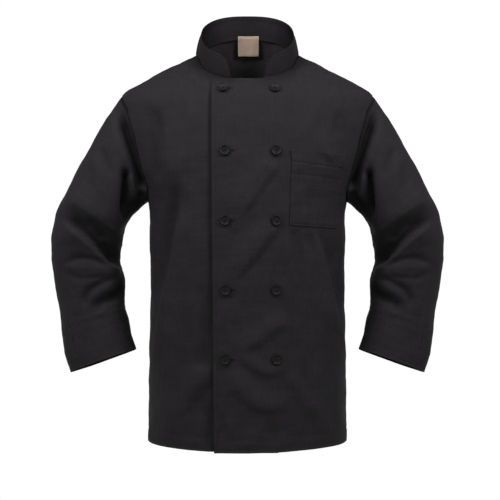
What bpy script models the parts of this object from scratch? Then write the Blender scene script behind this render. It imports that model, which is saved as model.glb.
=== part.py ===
"""Double-breasted chef jacket, worn form with no wearer.

+X is the wearer's left, the front faces -Y and +Z is up. The origin is the middle of the neck, level
with the points where the shoulder seams meet the collar. Tables are in millimetres, meshes in metres.

The body is a form of level sections. A panel is a patch of that form: its outline is drawn as the
maker's pattern would be, by girth from the centre line and by height, and the patch is a wall of cloth.
"""

import math
from collections import namedtuple

import bmesh
import bpy
import numpy as np

MM = 0.001

# Cloth
CLOTH = 1.5                 # wall of one panel
BAND = 2.0                  # wall of the collar and cuffs, which are turned double
PATCH = 1.2                 # wall of the pocket
TAPE = 0.8                  # wall of the label
SEAM_GAP = 0.3              # between two pieces that are sewn together
LAYER_GAP = 1.2             # between a panel and what lies on it
LABEL_GAP = 1.9             # the label hangs off the hollow of the back neck

# Body form: level sections from the top of the back neck down to the hem
Section = namedtuple("Section", "height half_width front rear squareness")
FORM = (
    Section(44.0, 69.0, 0.8, 63.0, 2.00),
    Section(20.0, 82.5, 0.8, 80.0, 2.00),
    Section(8.0, 90.0, 0.9, 87.0, 2.00),
    Section(0.0, 96.5, 1.5, 91.0, 2.00),
    Section(-4.0, 103.0, 11.4, 92.2, 2.00),
    Section(-12.0, 119.5, 24.8, 94.2, 2.00),
    Section(-25.0, 145.0, 43.8, 97.0, 2.00),
    Section(-50.0, 193.5, 74.6, 101.0, 2.00),
    Section(-80.0, 238.0, 99.0, 105.0, 2.08),
    Section(-120.0, 241.5, 114.0, 109.0, 2.15),
    Section(-170.0, 231.0, 124.5, 112.0, 2.22),
    Section(-220.0, 214.5, 131.0, 112.5, 2.28),
    Section(-280.0, 188.5, 134.5, 111.0, 2.30),
    Section(-350.0, 185.8, 135.5, 108.0, 2.30),
    Section(-450.0, 184.0, 134.5, 105.0, 2.30),
    Section(-560.0, 186.0, 134.0, 108.0, 2.30),
    Section(-740.0, 187.8, 136.0, 112.0, 2.30),
)
FORM_CENTRE_Y = 6.0

# Levels that the pattern is drawn to
HEM_SIDE = -731.5
HEM_FRONT = -737.5
HEM_REAR = -733.0
HEM_SWEEP = 1.3             # how soon the front hem lifts from its middle level
ARMPIT = -279.0
SHOULDER_TIP = -80.0
FRONT_TOP = -57.0           # straight top edge of the fronts, between the collar's ends

# Neck seam: the form cut by a plane that is high at the back
NECK_REAR_Y = 70.0
NECK_REAR_Z = 42.0
NECK_SLOPE = 0.6759

# Overlap
EDGE_TOP = 65.0             # free edge past the centre line, at the neck
EDGE_HEM = 58.5             # and at the hem
UNDER_INSET = 3.0           # the under edge stops short of the mirrored free edge
UNDER_DROP = 2.0            # and its top edge lies lower
UNDER_SINK = 1.0            # and it lies this much inside the form
OVERLAP_RISE = 2.7          # the overlap lies this much proud of the form
RISE_FADE = (66.0, 90.0)    # where the overlap comes back down onto the form

# Armhole: height, and the turn from the side seam towards the centre, in degrees
Hole = namedtuple("Hole", "height front_turn rear_turn")
ARMHOLE = (
    Hole(ARMPIT, 0.0, 0.0),
    Hole(-275.5, 11.5, 11.0),
    Hole(-263.0, 19.0, 17.5),
    Hole(-240.0, 23.6, 21.5),
    Hole(-214.0, 25.8, 23.4),
    Hole(-190.0, 26.4, 24.0),
    Hole(-149.0, 26.4, 24.0),
    Hole(-110.0, 22.6, 21.0),
    Hole(-87.0, 14.0, 13.0),
    Hole(SHOULDER_TIP, 0.0, 0.0),
)

# Grid of the pattern: cells between the marks on each edge
ROWS_BELOW = 16             # hem to armpit
ROWS_HOLE = 10              # armpit to shoulder tip
COLUMNS_TOP = 4             # free edge to collar end
COLUMNS_NECK = 7            # collar end, or centre back, to the shoulder seam
COLUMNS_SHOULDER = 6        # along the shoulder seam
RELAX_STEPS = 8

# Sleeve: each station is a ring between a point on its outer line and one on its inner line
Station = namedtuple("Station", "outer_x outer_z inner_x inner_z middle_y depth lean")
SLEEVE = (
    Station(238.0, -80.0, 188.5, -279.0, 6.0, 58.0, 0.00),
    Station(265.5, -118.5, 196.5, -286.5, 8.0, 64.0, 0.00),
    Station(292.5, -163.0, 210.5, -298.0, 10.0, 69.0, 0.00),
    Station(319.0, -210.5, 223.5, -311.5, 12.0, 72.0, 0.00),
    Station(343.5, -258.0, 234.5, -330.5, 15.0, 73.0, 0.01),
    Station(364.0, -298.5, 239.0, -353.5, 18.0, 72.5, 0.02),
    Station(373.0, -338.0, 243.0, -372.5, 20.0, 70.0, 0.03),
    Station(375.0, -372.5, 244.5, -391.5, 21.0, 66.0, 0.04),
    Station(372.0, -406.5, 240.5, -409.0, 20.0, 62.0, 0.05),
    Station(366.5, -445.0, 233.5, -431.5, 17.0, 58.0, 0.06),
    Station(359.0, -483.0, 234.5, -464.0, 13.0, 54.0, 0.08),
    Station(353.5, -527.5, 231.5, -487.0, 7.0, 49.0, 0.09),
    Station(346.5, -567.5, 222.5, -524.5, 1.0, 45.5, 0.09),
    Station(335.0, -603.5, 212.5, -560.0, -5.0, 42.0, 0.09),
)
SLEEVE_SQUARENESS = 2.15
SETTLE = 3.0                # stations over which the sleeve leaves the armhole's own shape
CUFF_STATION = 11.0
CUFF_END = 13.0
SLEEVE_RINGS = 17
CUFF_RINGS = 3
CUFF_RISE = 0.6
SLIT_TURN = 52.0            # degrees round from the outer line, towards the front
SLIT_WIDTH = 1.0            # degrees

# Collar: its top edge is an ellipse in a plane of its own
COLLAR_HALF_WIDTH = 88.0
COLLAR_HALF_DEPTH = 69.0
COLLAR_CENTRE_Y = -3.0
COLLAR_REAR_Z = 83.0
COLLAR_SLOPE = 0.72
COLLAR_REAR_SQUARENESS = 2.5
COLLAR_FRONT_SQUARENESS = 2.2
COLLAR_END_X = 33.0
COLLAR_CORNER = 28.0        # radius of the front corners
COLLAR_BELLY = 1.5          # how far the band rounds out between its edges
COLLAR_ROWS = 3

# Pocket: its corners from the front, and the strip above its mouth
Corner = namedtuple("Corner", "x z")
POCKET_TOP_INNER = Corner(80.0, -212.5)
POCKET_TOP_OUTER = Corner(176.0, -223.0)
POCKET_FOOT_INNER = Corner(75.5, -329.5)
POCKET_FOOT_OUTER = Corner(162.5, -335.5)
STRIP_INNER = Corner(77.5, -191.5)
STRIP_OUTER = Corner(177.5, -197.0)
STRIP_GAP = 0.6

# Label inside the back neck
LABEL_CENTRE = 1.6
LABEL_HALF_WIDTH = 21.5
LABEL_TOP = 43.0
LABEL_FOOT = 10.0

# Buttons: height of each row, and the two columns
ButtonRow = namedtuple("ButtonRow", "height right_x left_x")
BUTTONS = (
    ButtonRow(-78.5, -44.0, 49.7),
    ButtonRow(-193.0, -40.5, 51.6),
    ButtonRow(-319.0, -39.8, 51.5),
    ButtonRow(-444.0, -39.2, 51.5),
    ButtonRow(-569.0, -39.2, 52.0),
)
BUTTON_SIDES = 16
BUTTON_LIFT = 1.0
# half profile of a button, from the middle of its back round to the middle of its dish
Turned = namedtuple("Turned", "radius height")
BUTTON_PROFILE = (
    Turned(7.6, 0.0),
    Turned(9.7, 1.3),
    Turned(9.3, 3.2),
    Turned(7.6, 3.4),
    Turned(6.2, 2.3),
)

# Folds, drawn from the front (or the rear) as a line of points; a trough has a negative height
Fold = namedtuple("Fold", "rear height width points")
BODY_FOLDS = (
    Fold(False, 5.0, 17.0, ((-116, -270), (-140, -390), (-168, -520), (-182, -580))),
    Fold(False, -5.0, 15.0, ((-128, -252), (-152, -370), (-176, -470))),
    Fold(False, 4.5, 17.0, ((124, -345), (148, -440), (172, -545))),
    Fold(False, -4.0, 15.0, ((142, -345), (162, -430), (180, -500))),
    Fold(False, -4.0, 17.0, ((-181, -105), (-172, -160), (-152, -210))),
    Fold(False, -4.0, 17.0, ((181, -105), (172, -160), (152, -205))),
    Fold(True, -5.0, 20.0, ((-176, -110), (-160, -180), (-168, -262))),
    Fold(True, -5.0, 20.0, ((174, -115), (158, -190), (168, -266))),
    Fold(True, 5.0, 22.0, ((-120, -250), (-135, -400), (-160, -560))),
    Fold(True, 5.0, 22.0, ((116, -265), (138, -420), (156, -585))),
    Fold(True, -4.0, 20.0, ((-60, -420), (-5, -470), (70, -455))),
)
SLEEVE_FOLDS = (
    Fold(False, -6.0, 15.0, ((233, -128), (223, -178), (201, -222), (192, -246))),
    Fold(False, -4.5, 11.0, ((226, -232), (233, -309))),
    Fold(False, -7.0, 13.0, ((345, -300), (317, -305), (289, -326), (259, -348), (242, -390))),
    Fold(False, 8.0, 14.0, ((347, -322), (317, -352), (292, -377), (259, -408), (238, -420))),
    Fold(False, -6.0, 12.0, ((268, -415), (289, -438), (313, -458))),
    Fold(False, 4.0, 13.0, ((350, -408), (310, -418), (280, -402))),
    Fold(True, -6.0, 17.0, ((232, -130), (220, -185), (200, -240))),
    Fold(True, -7.0, 15.0, ((252, -330), (290, -352), (338, -348))),
    Fold(True, 7.0, 15.0, ((248, -372), (292, -392), (346, -378))),
    Fold(True, -5.0, 14.0, ((246, -428), (292, -440), (338, -424))),
)
FOLD_STEPS = 12

# Numerical steps
NUDGE = 1.0                 # for a surface direction, mm
TURN_FROM = 90.0            # the centre line, in degrees from the side seam
TURN_TO = -60.0             # past the side seam
TURN_STEPS = 101


# ---------------------------------------------------------------- reading tables

def smooth(at, marks, values):
    """Read a smooth curve through the marks; marks may run either way."""
    marks = np.asarray(marks, float)
    values = np.asarray(values, float)
    if marks[0] > marks[-1]:
        marks = marks[::-1]
        values = values[::-1]
    slopes = np.gradient(values, marks)
    at = np.clip(at, marks[0], marks[-1])
    k = np.clip(np.searchsorted(marks, at) - 1, 0, len(marks) - 2)
    span = marks[k + 1] - marks[k]
    t = (at - marks[k]) / span
    start = (1 + 2 * t) * (1 - t) ** 2 * values[k] + t * (1 - t) ** 2 * span * slopes[k]
    end = t * t * (3 - 2 * t) * values[k + 1] + t * t * (t - 1) * span * slopes[k + 1]
    return start + end


def column(table, name):
    return [getattr(row, name) for row in table]


def form_value(name, height):
    return smooth(height, column(FORM, "height"), column(FORM, name))


def ease(x, low, high):
    t = np.clip((x - low) / (high - low), 0.0, 1.0)
    return t * t * (3 - 2 * t)


def unit(v):
    return v / np.linalg.norm(v, axis=-1, keepdims=True)


def power(base, exponent):
    return np.sign(base) * np.abs(base) ** exponent


# ---------------------------------------------------------------- the body form

def at_turn(turn, height, rear):
    """Point of the form at a turn, in degrees from the side seam, on the +X side."""
    turn = np.radians(turn)
    bend = 2.0 / form_value("squareness", height)
    own = form_value("rear" if rear else "front", height)
    other = form_value("front" if rear else "rear", height)
    x = form_value("half_width", height) * power(np.cos(turn), bend)
    sine = power(np.sin(turn), bend)
    away = np.where(sine >= 0, own, other) * sine
    y = FORM_CENTRE_Y + (away if rear else -away)
    return np.stack([x, y, height + 0 * x], axis=-1)


def girth_of_turn(turn, height, rear):
    """Length along the level section from the centre line to the turn."""
    turn = np.asarray(turn, float)
    height = np.asarray(height, float)
    steps = np.linspace(0.0, 1.0, 41)
    turns = TURN_FROM + (turn[..., None] - TURN_FROM) * steps
    line = at_turn(turns, height[..., None] + 0 * turns, rear)
    return np.linalg.norm(np.diff(line, axis=-2), axis=-1).sum(axis=-1)


def on_form(girth, height, rear):
    """Point of the form at a girth from the centre line; a negative girth is on the -X side."""
    shape = np.broadcast(girth, height).shape
    girth = np.broadcast_to(girth, shape).ravel()
    height = np.broadcast_to(height, shape).ravel()
    turns = np.linspace(TURN_FROM, TURN_TO, TURN_STEPS)
    line = at_turn(turns[None, :], height[:, None], rear)
    length = np.linalg.norm(np.diff(line, axis=1), axis=-1).cumsum(axis=1)
    length = np.concatenate([np.zeros((len(height), 1)), length], axis=1)
    k = np.clip((length < np.abs(girth)[:, None]).sum(axis=1) - 1, 0, TURN_STEPS - 2)
    row = np.arange(len(height))
    part = (np.abs(girth) - length[row, k]) / (length[row, k + 1] - length[row, k])
    turn = turns[k] + part * (turns[1] - turns[0])
    point = at_turn(turn, height, rear)
    point[:, 0] *= np.where(girth < 0, -1.0, 1.0)
    return point.reshape(shape + (3,))


def form_normal(girth, height, rear):
    along = on_form(girth + NUDGE, height, rear) - on_form(girth - NUDGE, height, rear)
    up = on_form(girth, height + NUDGE, rear) - on_form(girth, height - NUDGE, rear)
    normal = unit(np.cross(along, up))
    return -normal if rear else normal


def neck_height(turn, rear):
    """Height at which a turn of the form meets the plane of the neck seam."""
    low = np.full(np.shape(turn), FRONT_TOP - 5.0)
    high = np.full(np.shape(turn), NECK_REAR_Z + 1.5)
    for _ in range(40):
        middle = (low + high) / 2
        y = at_turn(turn, middle, rear)[..., 1]
        plane = NECK_REAR_Z - NECK_SLOPE * (NECK_REAR_Y - y)
        below = middle < plane
        low = np.where(below, middle, low)
        high = np.where(below, high, middle)
    return (low + high) / 2


def evenly(points, count):
    """Marks at equal lengths along a line of points, both ends included."""
    length = np.concatenate([[0.0], np.linalg.norm(np.diff(points, axis=0), axis=1).cumsum()])
    return np.interp(np.linspace(0.0, length[-1], count + 1), length, np.arange(len(points)))


def read_at(marks, values):
    return np.interp(marks, np.arange(len(values)), values)


def neck_line(rear, count):
    """Turns and heights of the neck seam, from the centre (or the collar's end) to the shoulder."""
    if rear:
        first = 90.0
    else:
        first = collar_end_turn()
    turns = np.linspace(first, 0.0, 121)
    heights = neck_height(turns, rear)
    marks = evenly(at_turn(turns, heights, rear), count)
    return read_at(marks, turns), read_at(marks, heights)


def collar_end_turn():
    width = form_value("half_width", FRONT_TOP)
    square = form_value("squareness", FRONT_TOP)
    return math.degrees(math.acos((COLLAR_END_X / width) ** (square / 2)))


def shoulder_line(rear, count):
    """Heights along the shoulder seam, from the collar to the armhole."""
    top = float(neck_height(np.array(0.0), rear))
    heights = np.linspace(top, SHOULDER_TIP, 81)
    marks = evenly(at_turn(0 * heights, heights, rear), count)
    return read_at(marks, heights)


def armhole_line(rear, count):
    """Turns and heights of the armhole, from the armpit to the shoulder tip."""
    name = "rear_turn" if rear else "front_turn"
    marks = np.arange(len(ARMHOLE))
    fine = np.linspace(0, len(ARMHOLE) - 1, 181)
    turns = np.maximum(smooth(fine, marks, column(ARMHOLE, name)), 0.0)
    heights = smooth(fine, marks, column(ARMHOLE, "height"))
    steps = evenly(at_turn(turns, heights, rear), count)
    return read_at(steps, turns), read_at(steps, heights)


# ---------------------------------------------------------------- folds

def fold_line(points):
    points = np.array(points, float)
    marks = np.arange(len(points))
    fine = np.linspace(0, len(points) - 1, FOLD_STEPS + 1)
    return np.stack([smooth(fine, marks, points[:, 0]), smooth(fine, marks, points[:, 1])], axis=1)


def fold_height(fold, x, z):
    """Height of one fold over a point, seen square on; it dies away at both ends."""
    line = fold_line(fold.points)
    nearest = np.full(np.shape(x), 1e9)
    along = np.zeros(np.shape(x))
    for k in range(FOLD_STEPS):
        start = line[k]
        run = line[k + 1] - start
        t = np.clip(((x - start[0]) * run[0] + (z - start[1]) * run[1]) / (run @ run), 0.0, 1.0)
        away = np.hypot(x - start[0] - t * run[0], z - start[1] - t * run[1])
        along = np.where(away < nearest, (k + t) / FOLD_STEPS, along)
        nearest = np.minimum(away, nearest)
    taper = ease(along, 0.0, 0.25) * ease(1 - along, 0.0, 0.25)
    return fold.height * taper * np.exp(-(nearest / fold.width) ** 2)


def folded(points, normals, folds, flip=1.0):
    """Move points along their normals by all the folds of their side."""
    rise = np.zeros(points.shape[:-1])
    for fold in folds:
        facing = normals[..., 1] if fold.rear else -normals[..., 1]
        share = ease(facing, 0.05, 0.5)
        rise += share * fold_height(fold, points[..., 0] * flip, points[..., 2])
    return points + normals * rise[..., None]


# ---------------------------------------------------------------- body panels

def side_girth(height, rear):
    return girth_of_turn(0 * np.asarray(height, float), height, rear)


def edge_girth(height):
    """Girth of the free edge past the centre line, as a negative number."""
    reach = np.interp(height, [HEM_FRONT, FRONT_TOP], [EDGE_HEM, EDGE_TOP])
    width = form_value("half_width", height)
    square = form_value("squareness", height)
    turn = np.degrees(np.arccos((reach / width) ** (square / 2)))
    return -girth_of_turn(turn, height, False)


def outer_edge(rear):
    """Girths and heights up the side seam and round the armhole."""
    seam = np.linspace(HEM_SIDE, ARMPIT, ROWS_BELOW + 1)[:-1]
    turns, hole = armhole_line(rear, ROWS_HOLE)
    girths = np.concatenate([side_girth(seam, rear), girth_of_turn(turns, hole, rear)])
    return girths, np.concatenate([seam, hole])


def coons(bottom, top, left, right):
    """Patch between four edges, each an array of (girth, height) rows."""
    u = np.linspace(0, 1, len(bottom))[None, :, None]
    v = np.linspace(0, 1, len(left))[:, None, None]
    across = (1 - v) * bottom[None] + v * top[None]
    upward = (1 - u) * left[:, None] + u * right[:, None]
    corners = ((1 - u) * (1 - v) * bottom[0] + u * (1 - v) * bottom[-1]
               + (1 - u) * v * top[0] + u * v * top[-1])
    return relax(across + upward - corners)


def relax(grid):
    """Even out the inside of a grid by Winslow's equations, so that no cell folds over."""
    for _ in range(RELAX_STEPS):
        east, west = grid[1:-1, 2:], grid[1:-1, :-2]
        north, south = grid[2:, 1:-1], grid[:-2, 1:-1]
        along = (east - west) / 2
        upward = (north - south) / 2
        a = (upward ** 2).sum(axis=-1, keepdims=True)
        b = (along * upward).sum(axis=-1, keepdims=True)
        c = (along ** 2).sum(axis=-1, keepdims=True)
        twist = grid[2:, 2:] - grid[2:, :-2] - grid[:-2, 2:] + grid[:-2, :-2]
        grid[1:-1, 1:-1] = (a * (east + west) + c * (north + south) - b * twist / 2) / (2 * (a + c))
    return grid


def pattern(girths, heights):
    return np.stack([girths, heights], axis=-1)


def front_pattern():
    """The front's cut, from its free edge to its side seam, as for the +X side."""
    columns = COLUMNS_TOP + COLUMNS_NECK + COLUMNS_SHOULDER
    heights = np.linspace(HEM_FRONT, FRONT_TOP, ROWS_BELOW + ROWS_HOLE + 1)
    left = pattern(edge_girth(heights), heights)
    right = pattern(*outer_edge(False))

    share = np.linspace(0, 1, columns + 1)
    girths = left[0, 0] + (right[0, 0] - left[0, 0]) * share
    sweep = np.sin(np.radians(90.0 * np.clip(girths / right[0, 0], 0, 1))) ** HEM_SWEEP
    bottom = pattern(girths, HEM_FRONT + (HEM_SIDE - HEM_FRONT) * sweep)
    bottom[0, 1] = left[0, 1]

    turns, neck = neck_line(False, COLUMNS_NECK)
    neck_girths = girth_of_turn(turns, neck, False)
    shoulder = shoulder_line(False, COLUMNS_SHOULDER)
    straight = np.linspace(left[-1, 0], neck_girths[0], COLUMNS_TOP + 1)[:-1]
    girths = np.concatenate([straight, neck_girths, side_girth(shoulder, False)[1:]])
    heights = np.concatenate([straight * 0 + FRONT_TOP, neck, shoulder[1:]])
    top = pattern(girths, heights)
    return coons(bottom, top, left, right)


def rear_pattern():
    """The back's cut, from the -X side seam to the +X side seam."""
    girths, heights = outer_edge(True)
    right = pattern(girths, heights)
    left = pattern(-girths, heights)
    columns = COLUMNS_NECK + COLUMNS_SHOULDER
    share = np.linspace(-1, 1, 2 * columns + 1)
    bottom = pattern(girths[0] * share, HEM_REAR + (HEM_SIDE - HEM_REAR) * share ** 2)

    turns, neck = neck_line(True, COLUMNS_NECK)
    shoulder = shoulder_line(True, COLUMNS_SHOULDER)
    half_girths = np.concatenate([girth_of_turn(turns, neck, True), side_girth(shoulder, True)[1:]])
    half_heights = np.concatenate([neck, shoulder[1:]])
    top_girths = np.concatenate([-half_girths[:0:-1], half_girths])
    top = pattern(top_girths, np.concatenate([half_heights[:0:-1], half_heights]))
    return coons(bottom, top, left, right)


def body_surface(girth, height, rear):
    """Outer face of the body with its folds, and the direction out of it."""
    points = on_form(girth, height, rear)
    normals = form_normal(girth, height, rear)
    return folded(points, normals, BODY_FOLDS), normals


def overlap_rise(x):
    return OVERLAP_RISE * (1 - ease(x, *RISE_FADE))


def pull_in(points, sides):
    """Draw the named edges of a grid back by half a seam gap."""
    points = points.copy()
    half = SEAM_GAP / 2
    if "bottom" in sides:
        points[0] += half * unit(points[1] - points[0])
    if "top" in sides:
        points[-1] += half * unit(points[-2] - points[-1])
    if "left" in sides:
        points[:, 0] += half * unit(points[:, 1] - points[:, 0])
    if "right" in sides:
        points[:, -1] += half * unit(points[:, -2] - points[:, -1])
    return points


def front_left():
    cut = front_pattern()
    points, normals = body_surface(cut[..., 0], cut[..., 1], False)
    points = points + normals * overlap_rise(points[..., 0])[..., None]
    points = pull_in(points, ("top", "right"))
    return wall("front_left", points, normals, CLOTH)


def front_right():
    cut = front_pattern()
    edge = ease(np.linspace(1, 0, cut.shape[1]), 0.6, 1.0)[None, :]
    cut[..., 0] += UNDER_INSET * edge
    cut[-1, :COLUMNS_TOP, 1] -= UNDER_DROP
    points, normals = body_surface(-cut[..., 0], cut[..., 1], False)
    sink = UNDER_SINK * ease(points[..., 0], -EDGE_HEM, -EDGE_HEM / 2)
    points = pull_in(points - normals * sink[..., None], ("top", "right"))
    return wall("front_right", points, normals, CLOTH)


def back():
    cut = rear_pattern()
    points, normals = body_surface(cut[..., 0], cut[..., 1], True)
    points = pull_in(points, ("top", "left", "right"))
    return wall("back", points, normals, CLOTH)


# ---------------------------------------------------------------- sleeves and cuffs

def station_value(name, at):
    return smooth(at, np.arange(len(SLEEVE)), column(SLEEVE, name))


def plain_ring(at, turn):
    """Ring of the sleeve on the +X side; turn 0 is its outer line and 90 its front, in degrees."""
    turn = np.radians(turn)
    bend = 2.0 / SLEEVE_SQUARENESS
    outer = np.stack([station_value("outer_x", at), 0 * at, station_value("outer_z", at)], axis=-1)
    inner = np.stack([station_value("inner_x", at), 0 * at, station_value("inner_z", at)], axis=-1)
    middle = (outer + inner) / 2
    middle[..., 1] = station_value("middle_y", at)
    reach = (outer - inner) / 2
    depth = station_value("depth", at)
    back_way = np.stack([0 * depth, depth, -depth * station_value("lean", at)], axis=-1)
    side = power(np.cos(turn), bend)[..., None]
    front = power(np.sin(turn), bend)[..., None]
    return middle + reach * side - back_way * front


def hole_ring(turn):
    """Armhole seam on the +X side at each turn of the sleeve, with the body's direction out."""
    turn = np.asarray(turn, float) % 360.0
    result = np.zeros(turn.shape + (3,))
    normals = np.zeros(turn.shape + (3,))
    for rear in (False, True):
        share = (360.0 - turn) / 180.0 if rear else turn / 180.0
        fine = np.linspace(0, 1, 161)
        turns, heights = armhole_line(rear, 160)
        # the armhole runs up from the armpit, the sleeve's turn runs down from the tip
        turn_at = np.interp(1 - np.clip(share, 0, 1), fine, turns)
        height_at = np.interp(1 - np.clip(share, 0, 1), fine, heights)
        girth = girth_of_turn(turn_at, height_at, rear)
        points, ways = body_surface(girth, height_at, rear)
        mine = (turn > 180.0) if rear else (turn <= 180.0)
        result = np.where(mine[..., None], points, result)
        normals = np.where(mine[..., None], ways, normals)
    return result, normals


def sleeve_surface(at, turn):
    """Outer face of the sleeve with its folds, and the direction out of it."""
    def bare(a, t):
        hold = np.clip(1 - a / SETTLE, 0, 1)[..., None] ** 2
        return plain_ring(a, t) + hold * (hole_ring(t)[0] - plain_ring(0 * a, t))
    low = np.clip(at - 0.05, 0, CUFF_END)
    high = np.clip(at + 0.05, 0, CUFF_END)
    points = bare(at, turn)
    along = bare(high, turn) - bare(low, turn)
    around = bare(at, turn + 1.0) - bare(at, turn - 1.0)
    normals = unit(np.cross(around, along))
    still = folded(points, normals, SLEEVE_FOLDS) - points
    fade = ease(at, 0.0, 0.8)[..., None] * ease(CUFF_STATION - at, 0.0, 0.6)[..., None]
    return points + still * fade, normals


def seam_normals(own, neighbour, leaving):
    """Direction through the wall at a sewn edge: the neighbour's where the two walls would meet."""
    closing = ease(-(leaving * neighbour).sum(axis=-1), -0.25, 0.05)[..., None]
    return unit(own * (1 - closing) + neighbour * closing)


def sleeve(name, side):
    turns = np.linspace(0, 360, 2 * ROWS_HOLE + 1)[:-1]
    rows = np.linspace(0, 1, SLEEVE_RINGS + 1) ** 1.15 * CUFF_STATION
    at, turn = np.meshgrid(rows, turns, indexing="ij")
    points, normals = sleeve_surface(at, turn)
    seam, body_ways = hole_ring(turns)
    leaving = unit(points[1] - seam)
    normals[0] = seam_normals(normals[0], body_ways, leaving)
    points[0] = seam + leaving * SEAM_GAP
    points = pull_in(points, ("top",))
    return wall(name, points, normals, CLOTH, closed=True, side=side)


def cuff(name, side):
    first = SLIT_TURN + SLIT_WIDTH / 2
    turns = np.linspace(first, first + 360.0 - SLIT_WIDTH, 2 * ROWS_HOLE + 1)
    rows = np.linspace(CUFF_STATION, CUFF_END, CUFF_RINGS + 1)
    at, turn = np.meshgrid(rows, turns, indexing="ij")
    points, normals = sleeve_surface(at, turn)
    points = pull_in(points + normals * CUFF_RISE, ("bottom",))
    return wall(name, points, normals, BAND, side=side)


# ---------------------------------------------------------------- collar

def collar_foot(count):
    """Points of the neck seam from the -X collar end round the back to the +X end."""
    half = []
    ways = []
    for rear in (True, False):
        turns, heights = neck_line(rear, count)
        girths = girth_of_turn(turns, heights, rear)
        if not rear:
            girths, heights = girths[::-1][1:], heights[::-1][1:]
        points, normals = body_surface(girths, heights, rear)
        half.append(points)
        ways.append(normals)
    half = np.concatenate(half)
    ways = np.concatenate(ways)
    mirror = np.array([-1.0, 1.0, 1.0])
    return np.concatenate([half[:0:-1] * mirror, half]), np.concatenate([ways[:0:-1] * mirror, ways])


def collar_top(foot):
    """Point of the top edge above each point of the foot, at the same way round the neck."""
    turn = np.arctan2((foot[:, 1] - COLLAR_CENTRE_Y) / COLLAR_HALF_DEPTH, foot[:, 0] / COLLAR_HALF_WIDTH)
    bend = 2.0 / np.where(turn > 0, COLLAR_REAR_SQUARENESS, COLLAR_FRONT_SQUARENESS)
    x = COLLAR_HALF_WIDTH * power(np.cos(turn), bend)
    y = COLLAR_CENTRE_Y + COLLAR_HALF_DEPTH * power(np.sin(turn), bend)
    z = COLLAR_REAR_Z - COLLAR_SLOPE * (COLLAR_CENTRE_Y + COLLAR_HALF_DEPTH - y)
    return np.stack([x, y, z], axis=-1)


def collar():
    foot, body_ways = collar_foot(COLUMNS_NECK)
    top = collar_top(foot)
    length = np.concatenate([[0.0], np.linalg.norm(np.diff(top, axis=0), axis=1).cumsum()])
    to_end = np.minimum(length, length[-1] - length)
    inside = np.clip(COLLAR_CORNER - to_end, 0.0, COLLAR_CORNER)
    drop = COLLAR_CORNER - np.sqrt(COLLAR_CORNER ** 2 - inside ** 2)
    tall = np.linalg.norm(top - foot, axis=-1)
    share = (1 - drop / tall)[None, :, None] * np.linspace(0, 1, COLLAR_ROWS + 1)[:, None, None]
    points = foot[None] + (top - foot)[None] * share
    around = np.gradient(points, axis=1)
    upward = np.broadcast_to((top - foot)[None], points.shape)
    normals = unit(np.cross(upward, around))
    points = points + normals * COLLAR_BELLY * (4 * share * (1 - share))
    leaving = unit(top - foot)
    points[0] = foot + leaving * SEAM_GAP
    normals[0] = seam_normals(normals[0], body_ways, leaving)
    return wall("collar", points, normals, BAND)


# ---------------------------------------------------------------- what lies on the panels

def seen_point(x, height, rear):
    """Girth of the point of the form that lies at x, seen square on."""
    width = form_value("half_width", height)
    square = form_value("squareness", height)
    turn = np.degrees(np.arccos(np.clip(np.abs(x) / width, 0, 1) ** (square / 2)))
    return girth_of_turn(turn, height, rear) * np.sign(x + 1e-9)


def patch_on_front(corners, rows, columns, lift):
    """Grid of points on the front between four corners, moved out."""
    top_inner, top_outer, foot_outer, foot_inner = [np.array(corner, float) for corner in corners]
    u = np.linspace(0, 1, columns + 1)[None, :, None]
    v = np.linspace(0, 1, rows + 1)[:, None, None]
    foot = foot_inner + (foot_outer - foot_inner) * u
    top = top_inner + (top_outer - top_inner) * u
    seen = foot + (top - foot) * v
    girth = seen_point(seen[..., 0], seen[..., 1], False)
    points, normals = body_surface(girth, seen[..., 1], False)
    out = lift + overlap_rise(points[..., 0])
    return points + normals * out[..., None], normals


def pocket():
    corners = (POCKET_TOP_INNER, POCKET_TOP_OUTER, POCKET_FOOT_OUTER, POCKET_FOOT_INNER)
    points, normals = patch_on_front(corners, 6, 6, LAYER_GAP + PATCH)
    return wall("pocket", points, normals, PATCH)


def pocket_top():
    inner = Corner(POCKET_TOP_INNER.x, POCKET_TOP_INNER.z + STRIP_GAP)
    outer = Corner(POCKET_TOP_OUTER.x, POCKET_TOP_OUTER.z + STRIP_GAP)
    corners = (STRIP_INNER, STRIP_OUTER, outer, inner)
    points, normals = patch_on_front(corners, 1, 6, LAYER_GAP + PATCH)
    return wall("pocket_top", points, normals, PATCH)


def neck_label():
    x = LABEL_CENTRE + np.linspace(-LABEL_HALF_WIDTH, LABEL_HALF_WIDTH, 5)
    z = np.linspace(LABEL_FOOT, LABEL_TOP, 4)
    height, across = np.meshgrid(z, x, indexing="ij")
    points, normals = body_surface(seen_point(across, height, True), height, True)
    points = points - normals * (CLOTH + LABEL_GAP)
    return wall("neck_label", points, normals, TAPE)


def button(name, x, height):
    """Turned disc with a raised rim, square on to the overlap."""
    girth = seen_point(np.array(x), np.array(height), False)
    point, way = body_surface(girth, np.array(height), False)
    foot = point + way * (overlap_rise(np.array(x)) + BUTTON_LIFT)
    across = unit(np.cross([0.0, 0.0, 1.0], way))
    upward = np.cross(way, across)
    mesh = bmesh.new()
    rings = []
    for row in BUTTON_PROFILE:
        ring = []
        for k in range(BUTTON_SIDES):
            turn = 2 * math.pi * k / BUTTON_SIDES
            spoke = across * math.cos(turn) + upward * math.sin(turn)
            ring.append(mesh.verts.new((foot + spoke * row.radius + way * row.height) * MM))
        rings.append(ring)
    for low, high in zip(rings, rings[1:]):
        for k in range(BUTTON_SIDES):
            n = (k + 1) % BUTTON_SIDES
            mesh.faces.new((low[k], low[n], high[n], high[k]))
    mesh.faces.new(rings[0][::-1])
    mesh.faces.new(rings[-1])
    return finish(name, mesh)


# ---------------------------------------------------------------- meshes

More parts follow.
